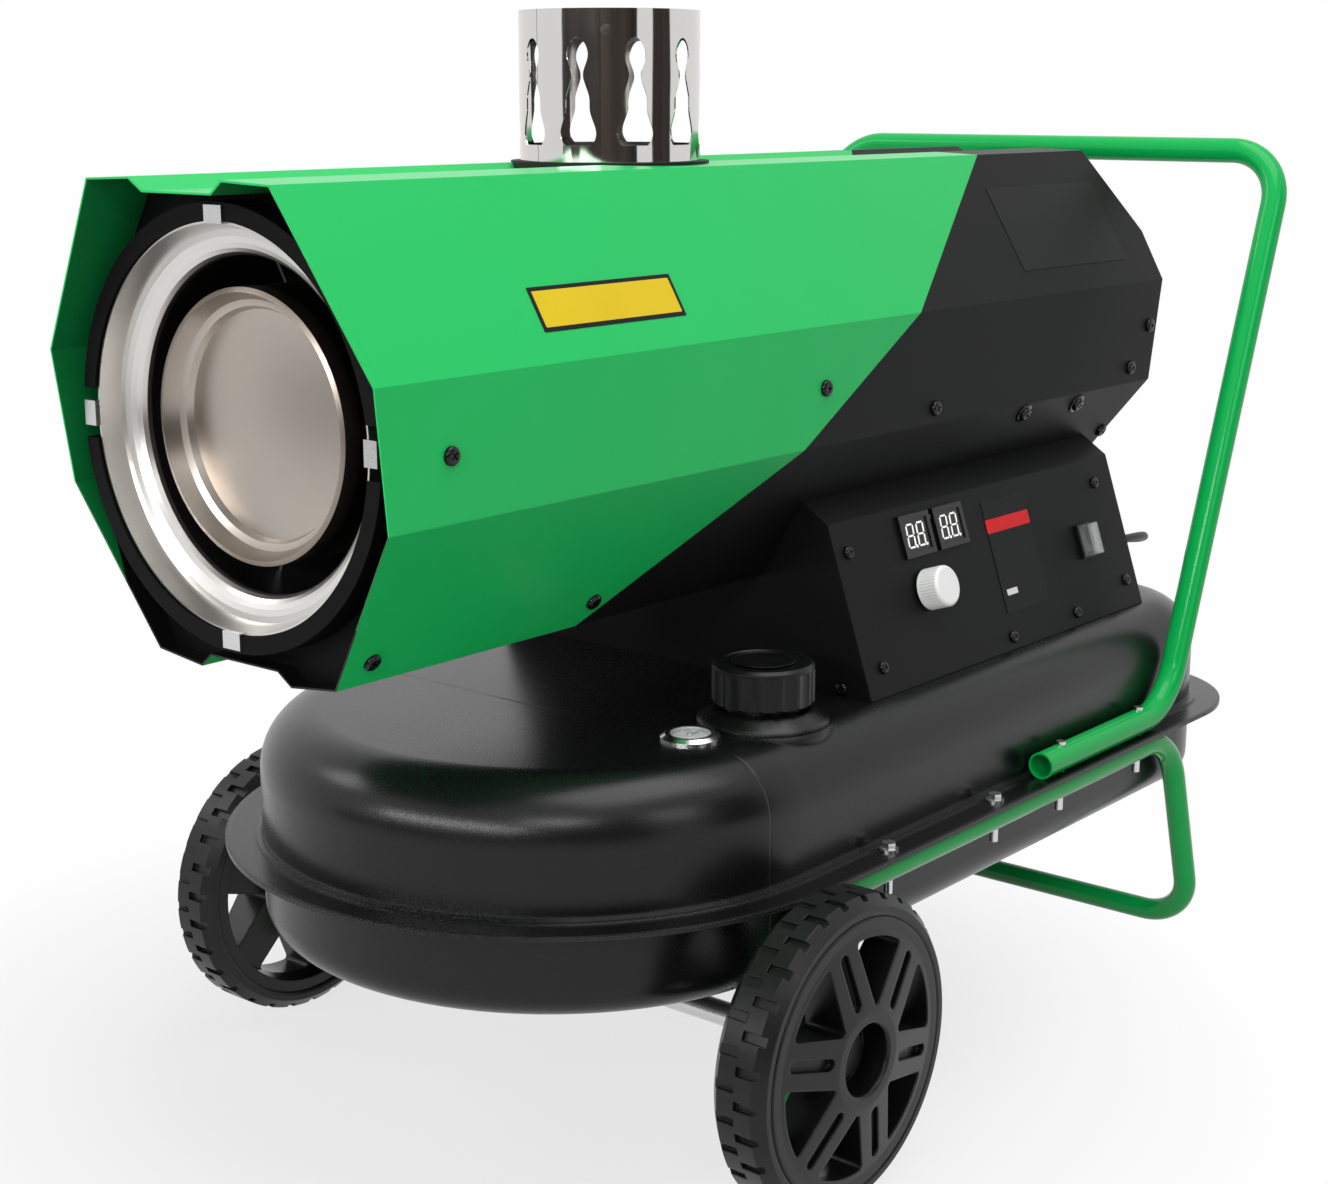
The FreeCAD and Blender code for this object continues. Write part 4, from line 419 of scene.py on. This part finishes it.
outlet_steel = spun_steel("spun_outlet_steel", (0.70, 0.685, 0.66), 0.30, 1400.0, groove=0.05)
disc_steel = spun_steel("heat_toned_disc", (0.46, 0.425, 0.39), 0.30, 3000.0, warmth=0.04, groove=0.10,
                        crown=0.7, burnt=0.75)
drum_steel = spun_steel("heat_toned_drum", (0.15, 0.115, 0.09), 0.24, 900.0, warmth=0.08)
GAUGE_LOW, GAUGE_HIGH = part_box("gauge_body")
GAUGE_MIDDLE = [(a + b) / 2 for a, b in zip(GAUGE_LOW, GAUGE_HIGH)]
dial_steel = spun_steel("spun_dial", (0.80, 0.81, 0.82), 0.36, 3000.0, upright_at=GAUGE_MIDDLE, groove=0.25,
                        bare=0.4)
flue_steel = flue_metal("polished_flue_steel", (0.64, 0.625, 0.61), 0.07)
plated_steel = drawn_metal("zinc_plating", (0.64, 0.64, 0.65), 0.28, (40.0, 40.0, 40.0), 0.05, 0.10)
chrome = drawn_metal("gauge_chrome", (0.80, 0.80, 0.80), 0.22, (20.0, 20.0, 20.0), 0.01, 0.03)
sheet_steel = drawn_metal("plain_sheet_steel", (0.36, 0.36, 0.36), 0.38, (2.0, 60.0, 60.0), 0.05, 0.10)
cast_aluminium = drawn_metal("cast_aluminium", (0.55, 0.55, 0.56), 0.44, (70.0, 70.0, 70.0), 0.25, 0.08)
copper_pipe = drawn_metal("drawn_copper", (0.64, 0.30, 0.17), 0.30, (60.0, 60.0, 4.0), 0.03, 0.08)


MILKY_COVER = 0.22
CLEAR_PART = 0.4


def clear_moulding(name, cover, rough, milky_from=FAR_OFF):
    """Clear plastic that lets light through, milky from a place along the heater onwards."""
    finish = Finish(name, IOR=1.46, Base_Color=(0.80, 0.82, 0.83, 1.0))
    cloud = finish.noise(90.0, 2.0)
    milky = finish.axes()[1] > milky_from
    finish.set({"Roughness": rough + cloud * 0.06,
                "Alpha": cover + (cloud - 0.5) * 0.06 + milky * MILKY_COVER})
    return finish.material


clear_plastic = clear_moulding("clear_plastic", 0.14, 0.05)
COVER_LOW, COVER_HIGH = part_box("switch_cover")
MILKY_FROM = COVER_LOW[1] * (1 - CLEAR_PART) + COVER_HIGH[1] * CLEAR_PART
milky_plastic = clear_moulding("milky_switch_plastic", 0.10, 0.05, MILKY_FROM)
print("metals ready")

# %% [markdown]
# ## Finishes on the solids
# Most shapes are already right in the CAD frame, so those solids stay and only take a finish. The table
# below is read from the finish to the solids that wear it.

# %% Dress the solids
finish_of = {
    green_roof: ["casing_upper_front"],
    green_belly: ["casing_lower_front"],
    green_gloss: ["frame_tube", "handle"],
    black_coat: ["casing_upper_rear", "casing_lower_rear", "rear_guard", "cabinet", "service_panel",
                 "control_panel"],
    sooty_coat: ["front_plate", "rear_plate"],
    tank_coat: ["tank_upper", "tank_lower", "filler_neck"],
    outlet_steel: ["outlet_ring"],
    disc_steel: ["drum_end_cap"],
    drum_steel: ["chamber_drum"],
    flue_steel: ["flue_stub"],
    plated_steel: ["outlet_clips", "frame_bolts", "axle", "gauge_needle"],
    chrome: ["gauge_body"],
    sheet_steel: ["air_liner", "air_baffle", "flue_riser", "drum_supports", "burner_tube", "motor_cradle"],
    cast_aluminium: ["motor", "fan", "fuel_pump", "float_arm"],
    copper_pipe: ["nozzle", "fuel_lines"],
    black_moulding: ["fuel_cap", "thermostat", "switch_bezel", "ignition_transformer", "axle_collars",
                     "cord_tie"],
    black_gloss: ["displays", "rocker"],
    white_moulding: ["thermostat_knob"],
    clear_plastic: ["gauge_dome", "fuel_filter"],
    milky_plastic: ["switch_cover"],
    rim_moulding: ["wheel_rim_right", "wheel_rim_left"],
    tyre_rubber: ["wheel_tyre_right", "wheel_tyre_left"],
    lead_rubber: ["cord_gland", "cord", "cord_coil", "plug"],
    seal_rubber: ["cap_seal", "flue_gasket"],
    ceramic: ["burner_probes"],
    board_lacquer: ["control_board"],
}
for material, names in finish_of.items():
    for name in names:
        slots = nodes[name].material_slots
        for slot in slots:
            slot.material = material
        if not slots:
            nodes[name].data.materials.append(material)
lead_curve.materials.append(lead_rubber)
print("dressed", sum(len(names) for names in finish_of.values()), "of", len(nodes), "solids")

# %% [markdown]
# ## Helpers for new pieces
# A piece starts as a primitive, is shaped in edit mode and ends with its place in its own mesh, with the
# object at the origin. The frame's solids are selected when they load, so each helper starts by clearing
# the selection.


# %% Piece helpers
def only(piece):
    """Makes one piece the whole selection."""
    bpy.ops.object.select_all(action="DESELECT")
    piece.select_set(True)
    bpy.context.view_layer.objects.active = piece


def started(name, add, **settings):
    """A new primitive, alone in the selection, with its name."""
    bpy.ops.object.select_all(action="DESELECT")
    add(**settings)
    piece = bpy.context.object
    piece.name = name
    piece.data.name = name
    return piece


def settled(piece):
    """Puts a piece's place, turn and scale into its mesh."""
    only(piece)
    bpy.ops.object.transform_apply(location=True, rotation=True, scale=True)
    return piece


def pick_faces(piece, test):
    """Selects, in edit mode, the faces that pass a test on centre and normal."""
    only(piece)
    for polygon in piece.data.polygons:
        polygon.select = test(polygon.center, polygon.normal)
    for edge in piece.data.edges:
        edge.select = False
    for vertex in piece.data.vertices:
        vertex.select = False
    for polygon in piece.data.polygons:
        if polygon.select:
            for index in polygon.vertices:
                piece.data.vertices[index].select = True
    bpy.ops.object.mode_set(mode="EDIT")
    bpy.ops.mesh.select_mode(type="FACE")


def leave_edit():
    """Back to object mode."""
    bpy.ops.object.mode_set(mode="OBJECT")


def modified(piece, kind, **settings):
    """Adds a modifier and applies it."""
    only(piece)
    modifier = piece.modifiers.new(kind.lower(), kind)
    for key, value in settings.items():
        setattr(modifier, key, value)
    bpy.ops.object.modifier_apply(modifier=modifier.name)


def carved(piece, cutter):
    """Cuts one piece with another and throws the cutter away."""
    modified(piece, "BOOLEAN", operation="DIFFERENCE", object=cutter, solver="EXACT")
    bpy.data.objects.remove(cutter)


def joined(name, pieces):
    """Several pieces as one."""
    bpy.ops.object.select_all(action="DESELECT")
    for piece in pieces:
        piece.select_set(True)
    bpy.context.view_layer.objects.active = pieces[0]
    bpy.ops.object.join()
    pieces[0].name = name
    pieces[0].data.name = name
    return pieces[0]


def copied(piece, name, matrix):
    """A copy with its own mesh, put in place."""
    twin = bpy.data.objects.new(name, piece.data.copy())
    twin.data.name = name
    twin.data.transform(matrix)
    bpy.context.scene.collection.objects.link(twin)
    return twin


def smoothed(piece, degrees):
    """Smooth shading that keeps the sharp edges."""
    only(piece)
    bpy.ops.object.shade_smooth_by_angle(angle=math.radians(degrees))
    return piece


def fitted(piece, material, body="heater"):
    """Gives a finished piece its finish and the body that carries it."""
    piece.data.materials.clear()
    piece.data.materials.append(material)
    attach(piece, body)


def upward(centre, normal):
    """Test for pick_faces: the faces that look up."""
    return normal.z > 0.9


def standing(place, outward, spin=0.0):
    """Matrix that puts a piece made upright at the origin on a surface with that normal."""
    turn = Vector(outward).to_track_quat("Z", "Y").to_matrix().to_4x4()
    return Matrix.Translation(place) @ turn @ Matrix.Rotation(spin, 4, "Z")


def pick_uprights(piece):
    """Selects, in edit mode, the edges that run along Z."""
    pick_faces(piece, lambda centre, normal: False)
    leave_edit()
    for edge in piece.data.edges:
        start, end = [piece.data.vertices[index].co for index in edge.vertices]
        edge.select = (start - end).normalized().z ** 2 > 0.9
    bpy.ops.object.mode_set(mode="EDIT")
    bpy.ops.mesh.select_mode(type="EDGE")


def slab(name, width, height, thick, corner=0.0008, edge=0.0002, segments=4):
    """A thin plate in the XY plane with rounded corners and a soft edge, standing on Z 0."""
    piece = started(name, bpy.ops.mesh.primitive_cube_add, size=1.0, location=(0, 0, thick / 2),
                    scale=(width, height, thick))
    settled(piece)
    pick_uprights(piece)
    bpy.ops.mesh.bevel(offset=corner, segments=segments, affect="EDGES")
    leave_edit()
    pick_faces(piece, upward)
    bpy.ops.mesh.bevel(offset=edge, segments=2, affect="EDGES")
    leave_edit()
    return smoothed(piece, 15)


def softened(piece, offset, segments=2):
    """Rounds the rim of a turned piece's top."""
    pick_faces(piece, upward)
    bpy.ops.mesh.bevel(offset=offset, segments=segments, affect="EDGES")
    leave_edit()
    return smoothed(piece, 40)


print("piece helpers ready")

# %% [markdown]
# ## Screws
# The casing and the panel are held by black pan-head screws with a cross recess. A head is a cylinder whose
# top rim gets a wide round bevel, with a cross cut into it. Two sizes are modelled. Copies then sit on the
# sheet, those of the casing each at the point where a straight line from outside meets the solid.


# %% One screw head
def screw_head(name, radius, height):
    """Domed head with a cross recess, standing on Z 0."""
    head = started(name, bpy.ops.mesh.primitive_cylinder_add, vertices=32, radius=radius, depth=height,
                   location=(0, 0, height / 2))
    settled(head)
    pick_faces(head, upward)
    bpy.ops.mesh.bevel(offset=height * 0.72, segments=5, affect="EDGES")
    leave_edit()
    bars = []
    for turn in (0.0, math.pi / 2):
        bar = started("recess_bar", bpy.ops.mesh.primitive_cube_add, size=1.0, location=(0, 0, height),
                      rotation=(0, 0, turn), scale=(radius * 0.98, radius * 0.24, height * 0.9))
        bars.append(settled(bar))
    for bar in bars:
        carved(head, bar)
    return smoothed(head, 40)


WASHER_R = 0.0082
WASHER_T = 0.0012
pan_head = screw_head("pan_head", 0.0056, 0.0031)
panel_head = screw_head("panel_head", 0.0046, 0.0027)
washer = started("washer", bpy.ops.mesh.primitive_cylinder_add, vertices=32, radius=WASHER_R,
                 depth=WASHER_T, location=(0, 0, WASHER_T / 2))
softened(settled(washer), WASHER_T / 3)
print("screw head faces", len(pan_head.data.polygons))


# %% Screws on the casing
OUTSIDE_X = 0.6
NEAREST_X = 0.05
SCREW_TURN = 0.7
WASHER_BITE = 0.0001


def on_casing(y, z, side):
    """Point and outward normal on whichever casing shell lies at that length and height."""
    for name in ("casing_upper_front", "casing_lower_front", "casing_upper_rear", "casing_lower_rear"):
        start, heading = Vector((side * OUTSIDE_X, y, z)), Vector((-side, 0, 0))
        found, place, normal, _ = nodes[name].ray_cast(start, heading)
        if found and abs(place.x) > NEAREST_X:
            return place, normal
    raise ValueError("no casing at that length and height")


PLAIN, WITH_WASHER = False, True
casing_screws = [(-0.40717, 0.4910, PLAIN), (-0.05717, 0.4920, PLAIN), (0.07883, 0.4635, PLAIN),
                 (0.39683, 0.4970, PLAIN), (0.36883, 0.4650, PLAIN), (0.21083, 0.4450, WITH_WASHER),
                 (0.29333, 0.4435, WITH_WASHER), (0.37183, 0.4110, PLAIN), (-0.42217, 0.3700, PLAIN),
                 (-0.23417, 0.3715, PLAIN)]
count = 0
for side in (1, -1):
    for y, z, wide in casing_screws:
        place, normal = on_casing(y, z, side)
        lift = 0.0
        count += 1
        if wide:
            ring = copied(washer, "casing_washer_" + str(count), standing(place, normal))
            fitted(ring, black_screw)
            lift = WASHER_T - WASHER_BITE
        seat = standing(place + normal * lift, normal, count * SCREW_TURN)
        head = copied(pan_head, "casing_screw_" + str(count), seat)
        fitted(head, black_screw)
print("casing screws", count)

# %% [markdown]
# ## Control panel
# The panel is a flat sheet that leans back. Its pieces are made flat at the origin and then moved by one
# matrix, whose columns are the panel's own length, slope and outward direction. The service panel on the
# far side is its mirror image.

# %% Panel frame and screws
PANEL_LOW = Vector((0.1726, -0.04417, 0.27905))
SLOPE = Vector((-0.3173, 0.0, 0.9483)).normalized()
ALONG = Vector((0.0, 1.0, 0.0))
OUTWARD = ALONG.cross(SLOPE)


def on_panel(along, up, out=0.0, spin=0.0):
    """Matrix for a place on the panel, in metres along it, up its slope and out from it."""
    place = PANEL_LOW + ALONG * along + SLOPE * up + OUTWARD * out
    axes = Matrix((ALONG, SLOPE, OUTWARD)).transposed().to_4x4()
    return Matrix.Translation(place) @ axes @ Matrix.Rotation(spin, 4, "Z")


PANEL_TURN = 0.9
CABINET_TURN = 0.5
CABINET_SCREW_X = 0.1477
CABINET_SCREW_Z = 0.2844
FRONTWARD = (0.0, -1.0, 0.0)
panel_screws = [(0.0150, 0.1025), (0.0220, 0.0200), (0.1900, 0.0095), (0.2860, 0.0105), (0.3705, 0.0220),
                (0.3586, 0.1040)]
for index, (along, up) in enumerate(panel_screws):
    seat = on_panel(along, up, 0.0, index * PANEL_TURN)
    head = copied(panel_head, "panel_screw_" + str(index + 1), seat)
    fitted(head, black_screw)
    far_place = (-seat.translation.x, seat.translation.y, seat.translation.z)
    far_seat = standing(far_place, (-OUTWARD.x, 0.0, OUTWARD.z), index * PANEL_TURN)
    twin = copied(panel_head, "service_screw_" + str(index + 1), far_seat)
    fitted(twin, black_screw)
cabinet_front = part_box("cabinet")[0][1]
for name, side in (("cabinet_screw_right", 1), ("cabinet_screw_left", -1)):
    seat = standing((side * CABINET_SCREW_X, cabinet_front, CABINET_SCREW_Z), FRONTWARD, side * CABINET_TURN)
    head = copied(panel_head, name, seat)
    fitted(head, black_screw)
print("panel screws", 2 * len(panel_screws) + 2)

# %% [markdown]
# ## Lit digits
# Each window shows two figures with seven bars and a point. A bar is a thin slab whose ends are drawn to a
# point by a wide bevel of its upright edges. Seven bars make a figure, which leans a little as such figures
# do. A dark lens sits between the windows.

# %% Digits
DIM_LIGHT = (0.80, 0.80, 0.78, 1.0)
FULL_LIGHT = (1.0, 1.0, 0.98, 1.0)
glow = Finish("lit_segment", Emission_Strength=0.55, Roughness=0.4)
glow.set({"Base_Color": (0.75, 0.75, 0.74, 1.0),
          "Emission_Color": glow.blend(glow.noise(260.0, 2.0), DIM_LIGHT, FULL_LIGHT)})
lit_segment = glow.material
FIGURE_W = 0.0080
FIGURE_H = 0.0164
FIGURE_LEAN = 0.09
FIGURE_STEP = 0.0064
FIGURE_SHIFT = 0.0012
FIGURES_UP = 0.102
WINDOWS_ALONG = (0.098, 0.142)
WINDOW_FACE = 0.00155
BAR_W = 0.0013
BAR_T = 0.0004
POINT_R = 0.0011
POINT_ROUND = 0.00015
LENS_R = 0.0021
LENS_T = 0.0014
LENS_ROUND = 0.0011
LENS_PLACE = (0.120, 0.112)


def bar(name, length):
    """One pointed bar of a figure, flat on Z 0."""
    return slab(name, length, BAR_W, BAR_T, BAR_W * 0.46, BAR_T / 4, 1)


def figure(name):
    """Seven bars and a point, leaning."""
    parts = []
    for row in (-1, 0, 1):
        flat = bar("flat_bar", FIGURE_W - BAR_W)
        flat.location = (0, row * FIGURE_H / 2, 0)
        parts.append(settled(flat))
    for column in (-1, 1):
        for row in (-1, 1):
            upright = bar("upright_bar", FIGURE_H / 2 - BAR_W * 0.9)
            upright.rotation_euler = (0, 0, math.pi / 2)
            upright.location = (column * FIGURE_W / 2, row * FIGURE_H / 4, 0)
            parts.append(settled(upright))
    dot = started("point", bpy.ops.mesh.primitive_cylinder_add, vertices=16, radius=POINT_R, depth=BAR_T,
                  location=(FIGURE_W * 0.72, -FIGURE_H / 2, BAR_T / 2))
    parts.append(softened(settled(dot), POINT_ROUND))
    whole = joined(name, parts)
    lean = Matrix.Identity(4)
    lean[0][1] = FIGURE_LEAN
    whole.data.transform(lean)
    return whole


model_figure = figure("model_figure")
for window, along in enumerate(WINDOWS_ALONG):
    for letter, step in (("a", -FIGURE_STEP), ("b", FIGURE_STEP)):
        spot = on_panel(along + step - FIGURE_SHIFT, FIGURES_UP, WINDOW_FACE)
        lit = copied(model_figure, "figure_" + str(window + 1) + letter, spot)
        fitted(lit, lit_segment)
bpy.data.objects.remove(model_figure)
lens = started("signal_lens", bpy.ops.mesh.primitive_cylinder_add, vertices=24, radius=LENS_R, depth=LENS_T,
               location=(0, 0, LENS_T / 2))
softened(settled(lens), LENS_ROUND, 4)
lens.data.transform(on_panel(*LENS_PLACE))
fitted(lens, black_gloss)
print("figures 4, lens 1")

# %% [markdown]
# ## Cap and gauge
# The top of the fuel cap has a raised disc with a rim, and the gauge has a spun metal dial under its clear
# dome. Both are turned pieces: a cylinder whose top is inset and pushed in or out, then softened along its
# edges.


# %% Cap disc and dial
def turned_disc(name, place, radius, thick, rim, step):
    """Round plate on a place, with a rim round a field that is raised or sunk by a step."""
    disc = started(name, bpy.ops.mesh.primitive_cylinder_add, vertices=64, radius=radius, depth=thick,
                   location=(place[0], place[1], place[2] + thick / 2))
    settled(disc)
    pick_faces(disc, upward)
    bpy.ops.mesh.inset(thickness=rim)
    bpy.ops.mesh.extrude_region_move(TRANSFORM_OT_translate={"value": (0, 0, step)})
    leave_edit()
    modified(disc, "BEVEL", width=min(abs(step), thick) * 0.45, segments=2, limit_method="ANGLE")
    return smoothed(disc, 30)


cap_low, cap_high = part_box("fuel_cap")
cap_middle = [(a + b) / 2 for a, b in zip(cap_low, cap_high)]
cap_top = (cap_middle[0], cap_middle[1], cap_high[2])
cap_disc = turned_disc("cap_disc", cap_top, radius=0.0215, thick=0.0008, rim=0.0022, step=-0.0005)
fitted(cap_disc, black_moulding, "cap")
UNDER_NEEDLE = 0.0005
dial_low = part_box("gauge_needle")[0][2] - UNDER_NEEDLE
dial_place = (GAUGE_MIDDLE[0], GAUGE_MIDDLE[1], dial_low)
dial = turned_disc("gauge_dial", dial_place, radius=0.0112, thick=0.0003, rim=0.0012, step=0.0001)
fitted(dial, dial_steel)
print("cap disc at", [round(v, 4) for v in cap_middle], "dial at", round(dial_low, 4))

# %% [markdown]
# ## Plates
# Three plain foils lie on the sheets: a yellow one with a dark border, a black one on the rear of the
# casing, and a dark one with a red band and a white field on the panel. Each is made of thin slabs with
# soft edges.


# %% Plates
def plate_coat(name, colour, rough):
    """Printed foil with a faint satin grain."""
    finish = Finish(name, Specular_IOR_Level=0.12)
    grain = finish.noise(1500.0, 2.0)
    slow = finish.noise(25.0, 2.0)
    finish.set({"Base_Color": finish.blend(slow, shade(colour, 0.95), shade(colour, 1.05)),
                "Roughness": rough + (grain - 0.5) * 0.10, "Normal": finish.bump(grain, 0.04, 0.0003)})
    return finish.material


yellow_foil = plate_coat("yellow_foil", (0.72, 0.52, 0.018), 0.36)
black_foil = plate_coat("black_foil", (0.0055, 0.0055, 0.0059), 0.42)
border_foil = plate_coat("border_foil", (0.006, 0.006, 0.006), 0.34)
red_foil = plate_coat("red_foil", (0.72, 0.018, 0.022), 0.32)
white_foil = plate_coat("white_foil", (0.78, 0.78, 0.77), 0.36)


def on_slope(y, z):
    """Matrix on the upper slope of the casing, with X along the casing and Y up the slope."""
    place, normal = on_casing(y, z, 1)
    up = normal.cross(ALONG)
    axes = Matrix((ALONG, -up if up.z < 0 else up, normal)).transposed().to_4x4()
    return Matrix.Translation(place) @ axes


def foil(name, width, height, thick, spot, material):
    """Thin slab laid on a place of the casing or the panel."""
    piece = slab(name, width, height, thick)
    piece.data.transform(spot)
    fitted(piece, material)


yellow_spot = on_slope(-0.25717, 0.5622)
rear_spot = on_slope(0.29183, 0.5815)
foil("hot_plate_border", 0.128, 0.0286, 0.0004, yellow_spot, border_foil)
foil("hot_plate_field", 0.1225, 0.0232, 0.0005, yellow_spot, yellow_foil)
foil("casing_plate", 0.160, 0.0700, 0.0004, rear_spot, black_foil)
foil("rating_plate", 0.061, 0.085, 0.0005, on_panel(0.2205, 0.0695), black_foil)
foil("rating_band", 0.061, 0.0105, 0.0006, on_panel(0.2205, 0.0930), red_foil)
foil("rating_field", 0.0150, 0.0048, 0.0006, on_panel(0.2035, 0.0420), white_foil)
print("plates 6")

# %% [markdown]
# ## Floor and light
# The floor is a pale sheet that keeps the soft shadow near the object and fades to the white of the
# background further out. Three soft lamps stand above, in front and to the side, and two long strips draw
# the bright lines on the tank's shoulder. Four dark cards stand round the front, as in a photographer's
# studio. They show in reflections only, and they give the polished metal its dark bands.

# %% Floor and background
WHITE = (1.0, 1.0, 1.0, 1.0)
FLOOR_DARK = (0.43, 0.43, 0.43, 1.0)
FLOOR_PALE = (0.45, 0.45, 0.45, 1.0)
SHADOW_MIDDLE = (-0.08, -0.12)
SHADOW_RADIUS = 0.26
SHADOW_FADE = 0.30
NEAR_WHITE = 0.74
WHITE_GAIN = 0.25
FILL_LIGHT = 0.28
floor = started("studio_floor", bpy.ops.mesh.primitive_plane_add, size=30.0, location=(0, 0, 0))
settled(floor)
floor_finish = Finish("studio_floor", Roughness=0.9)
floor_finish.set({"Base_Color": floor_finish.blend(floor_finish.noise(3.0), FLOOR_DARK, FLOOR_PALE)})
x, y, _ = floor_finish.axes()
from_x, from_y = x - SHADOW_MIDDLE[0], y - SHADOW_MIDDLE[1]
from_middle = (from_x * from_x + from_y * from_y).root()
away = ((from_middle - SHADOW_RADIUS) / SHADOW_FADE).most(0.0).least(1.0)
white_share = floor_finish.seen() * (NEAR_WHITE + away * WHITE_GAIN)
white_light = floor_finish.node("ShaderNodeEmission", None, {"Color": WHITE, "Strength": 1.0})
floor_mix = floor_finish.node("ShaderNodeMixShader", None, {0: white_share, 2: white_light})
floor_finish.tree.links.new(floor_finish.shader.outputs[0], floor_mix.socket.node.inputs[1])
floor_finish.feed(floor_finish.tree.nodes["Material Output"].inputs["Surface"], floor_mix)
floor.data.materials.append(floor_finish.material)
floor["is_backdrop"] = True

world = bpy.data.worlds.new("studio_white")
bpy.context.scene.world = world
world.use_nodes = True
sky = Graph(world.node_tree)
fill = sky.node("ShaderNodeBackground", None, {"Color": WHITE, "Strength": FILL_LIGHT})
white = sky.node("ShaderNodeBackground", None, {"Color": WHITE, "Strength": 1.0})
sky.feed(world.node_tree.nodes["World Output"].inputs["Surface"],
         sky.node("ShaderNodeMixShader", None, {0: sky.seen(), 1: fill, 2: white}))
print("floor and background")


# %% Dark cards
CARD_DISTANCE = 3.2
CARD_DARK = (0.008, 0.007, 0.0065, 1.0)
CARD_PALE = (0.15, 0.125, 0.11, 1.0)


def bearing_point(degrees):
    """Point on the floor at the cards' distance, in a direction from the flue."""
    turn = math.radians(degrees)
    return Vector((math.cos(turn), math.sin(turn), 0)) * CARD_DISTANCE


def dark_card(name, start, end, height):
    """Upright card that spans two bearings round the flue and shows in reflections only."""
    first, last = bearing_point(start), bearing_point(end)
    middle = (first + last) / 2 + Vector((0.0, FLUE_AXIS_Y, height / 2))
    along = last - first
    card = started(name, bpy.ops.mesh.primitive_plane_add, size=1.0, location=middle,
                   rotation=(math.pi / 2, 0, math.atan2(along.y, along.x)))
    card.scale = (along.length, height, 1.0)
    settled(card)
    card.data.materials.append(card_cloth)
    for ray in ("camera", "diffuse", "shadow", "transmission", "volume_scatter"):
        setattr(card, "visible_" + ray, False)
    card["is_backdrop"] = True


cloth = Finish("dark_card", Roughness=0.9, Specular_IOR_Level=0.0)
folds = cloth.noise(2.2, 2.0, cloth.stretched(1.0, 1.0, 0.1))
cloth.set({"Base_Color": cloth.blend(folds, CARD_DARK, CARD_PALE)})
card_cloth = cloth.material
dark_card("front_card", -111, -62, 2.4)
dark_card("camera_card", -62, -15, 2.4)
dark_card("panel_card", 6, 32, 2.4)
dark_card("mouth_card", -134, -111, 0.5)
print("dark cards 4")


# %% Lamps
def softbox(name, place, target, width, height, watts):
    """Area lamp aimed at a point."""
    bpy.ops.object.select_all(action="DESELECT")
    bpy.ops.object.light_add(type="AREA", location=place)
    lamp = bpy.context.object
    lamp.name = name
    lamp.data.shape = "RECTANGLE"
    lamp.data.size = width
    lamp.data.size_y = height
    lamp.data.energy = watts
    aim = Vector(target) - Vector(place)
    lamp.rotation_euler = aim.to_track_quat("-Z", "Y").to_euler()


softbox("top_softbox", (0.45, 0.0, 2.6), (0.0, 0.0, 0.3), 2.0, 2.0, 40.0)
softbox("panel_softbox", (2.4, -0.4, 1.5), (0.0, 0.0, 0.4), 0.8, 0.8, 5.0)
softbox("front_softbox", (-2.0, -1.3, 2.0), (0.0, -0.2, 0.4), 0.8, 0.8, 9.0)
softbox("low_strip", (0.1, -2.75, 1.15), (0.1, -0.35, 0.25), 2.6, 0.2, 42.0)
softbox("high_strip", (1.45, -1.85, 1.55), (0.1, -0.30, 0.25), 0.9, 0.25, 11.0)
bpy.context.scene.view_settings.view_transform = "Standard"
print("lamps 5")

# %% Spare models away and sizes written
for spare in (pan_head, panel_head, washer):
    bpy.data.objects.remove(spare)
low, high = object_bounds()
print("visual box", [round(b - a, 3) for a, b in zip(low, high)])
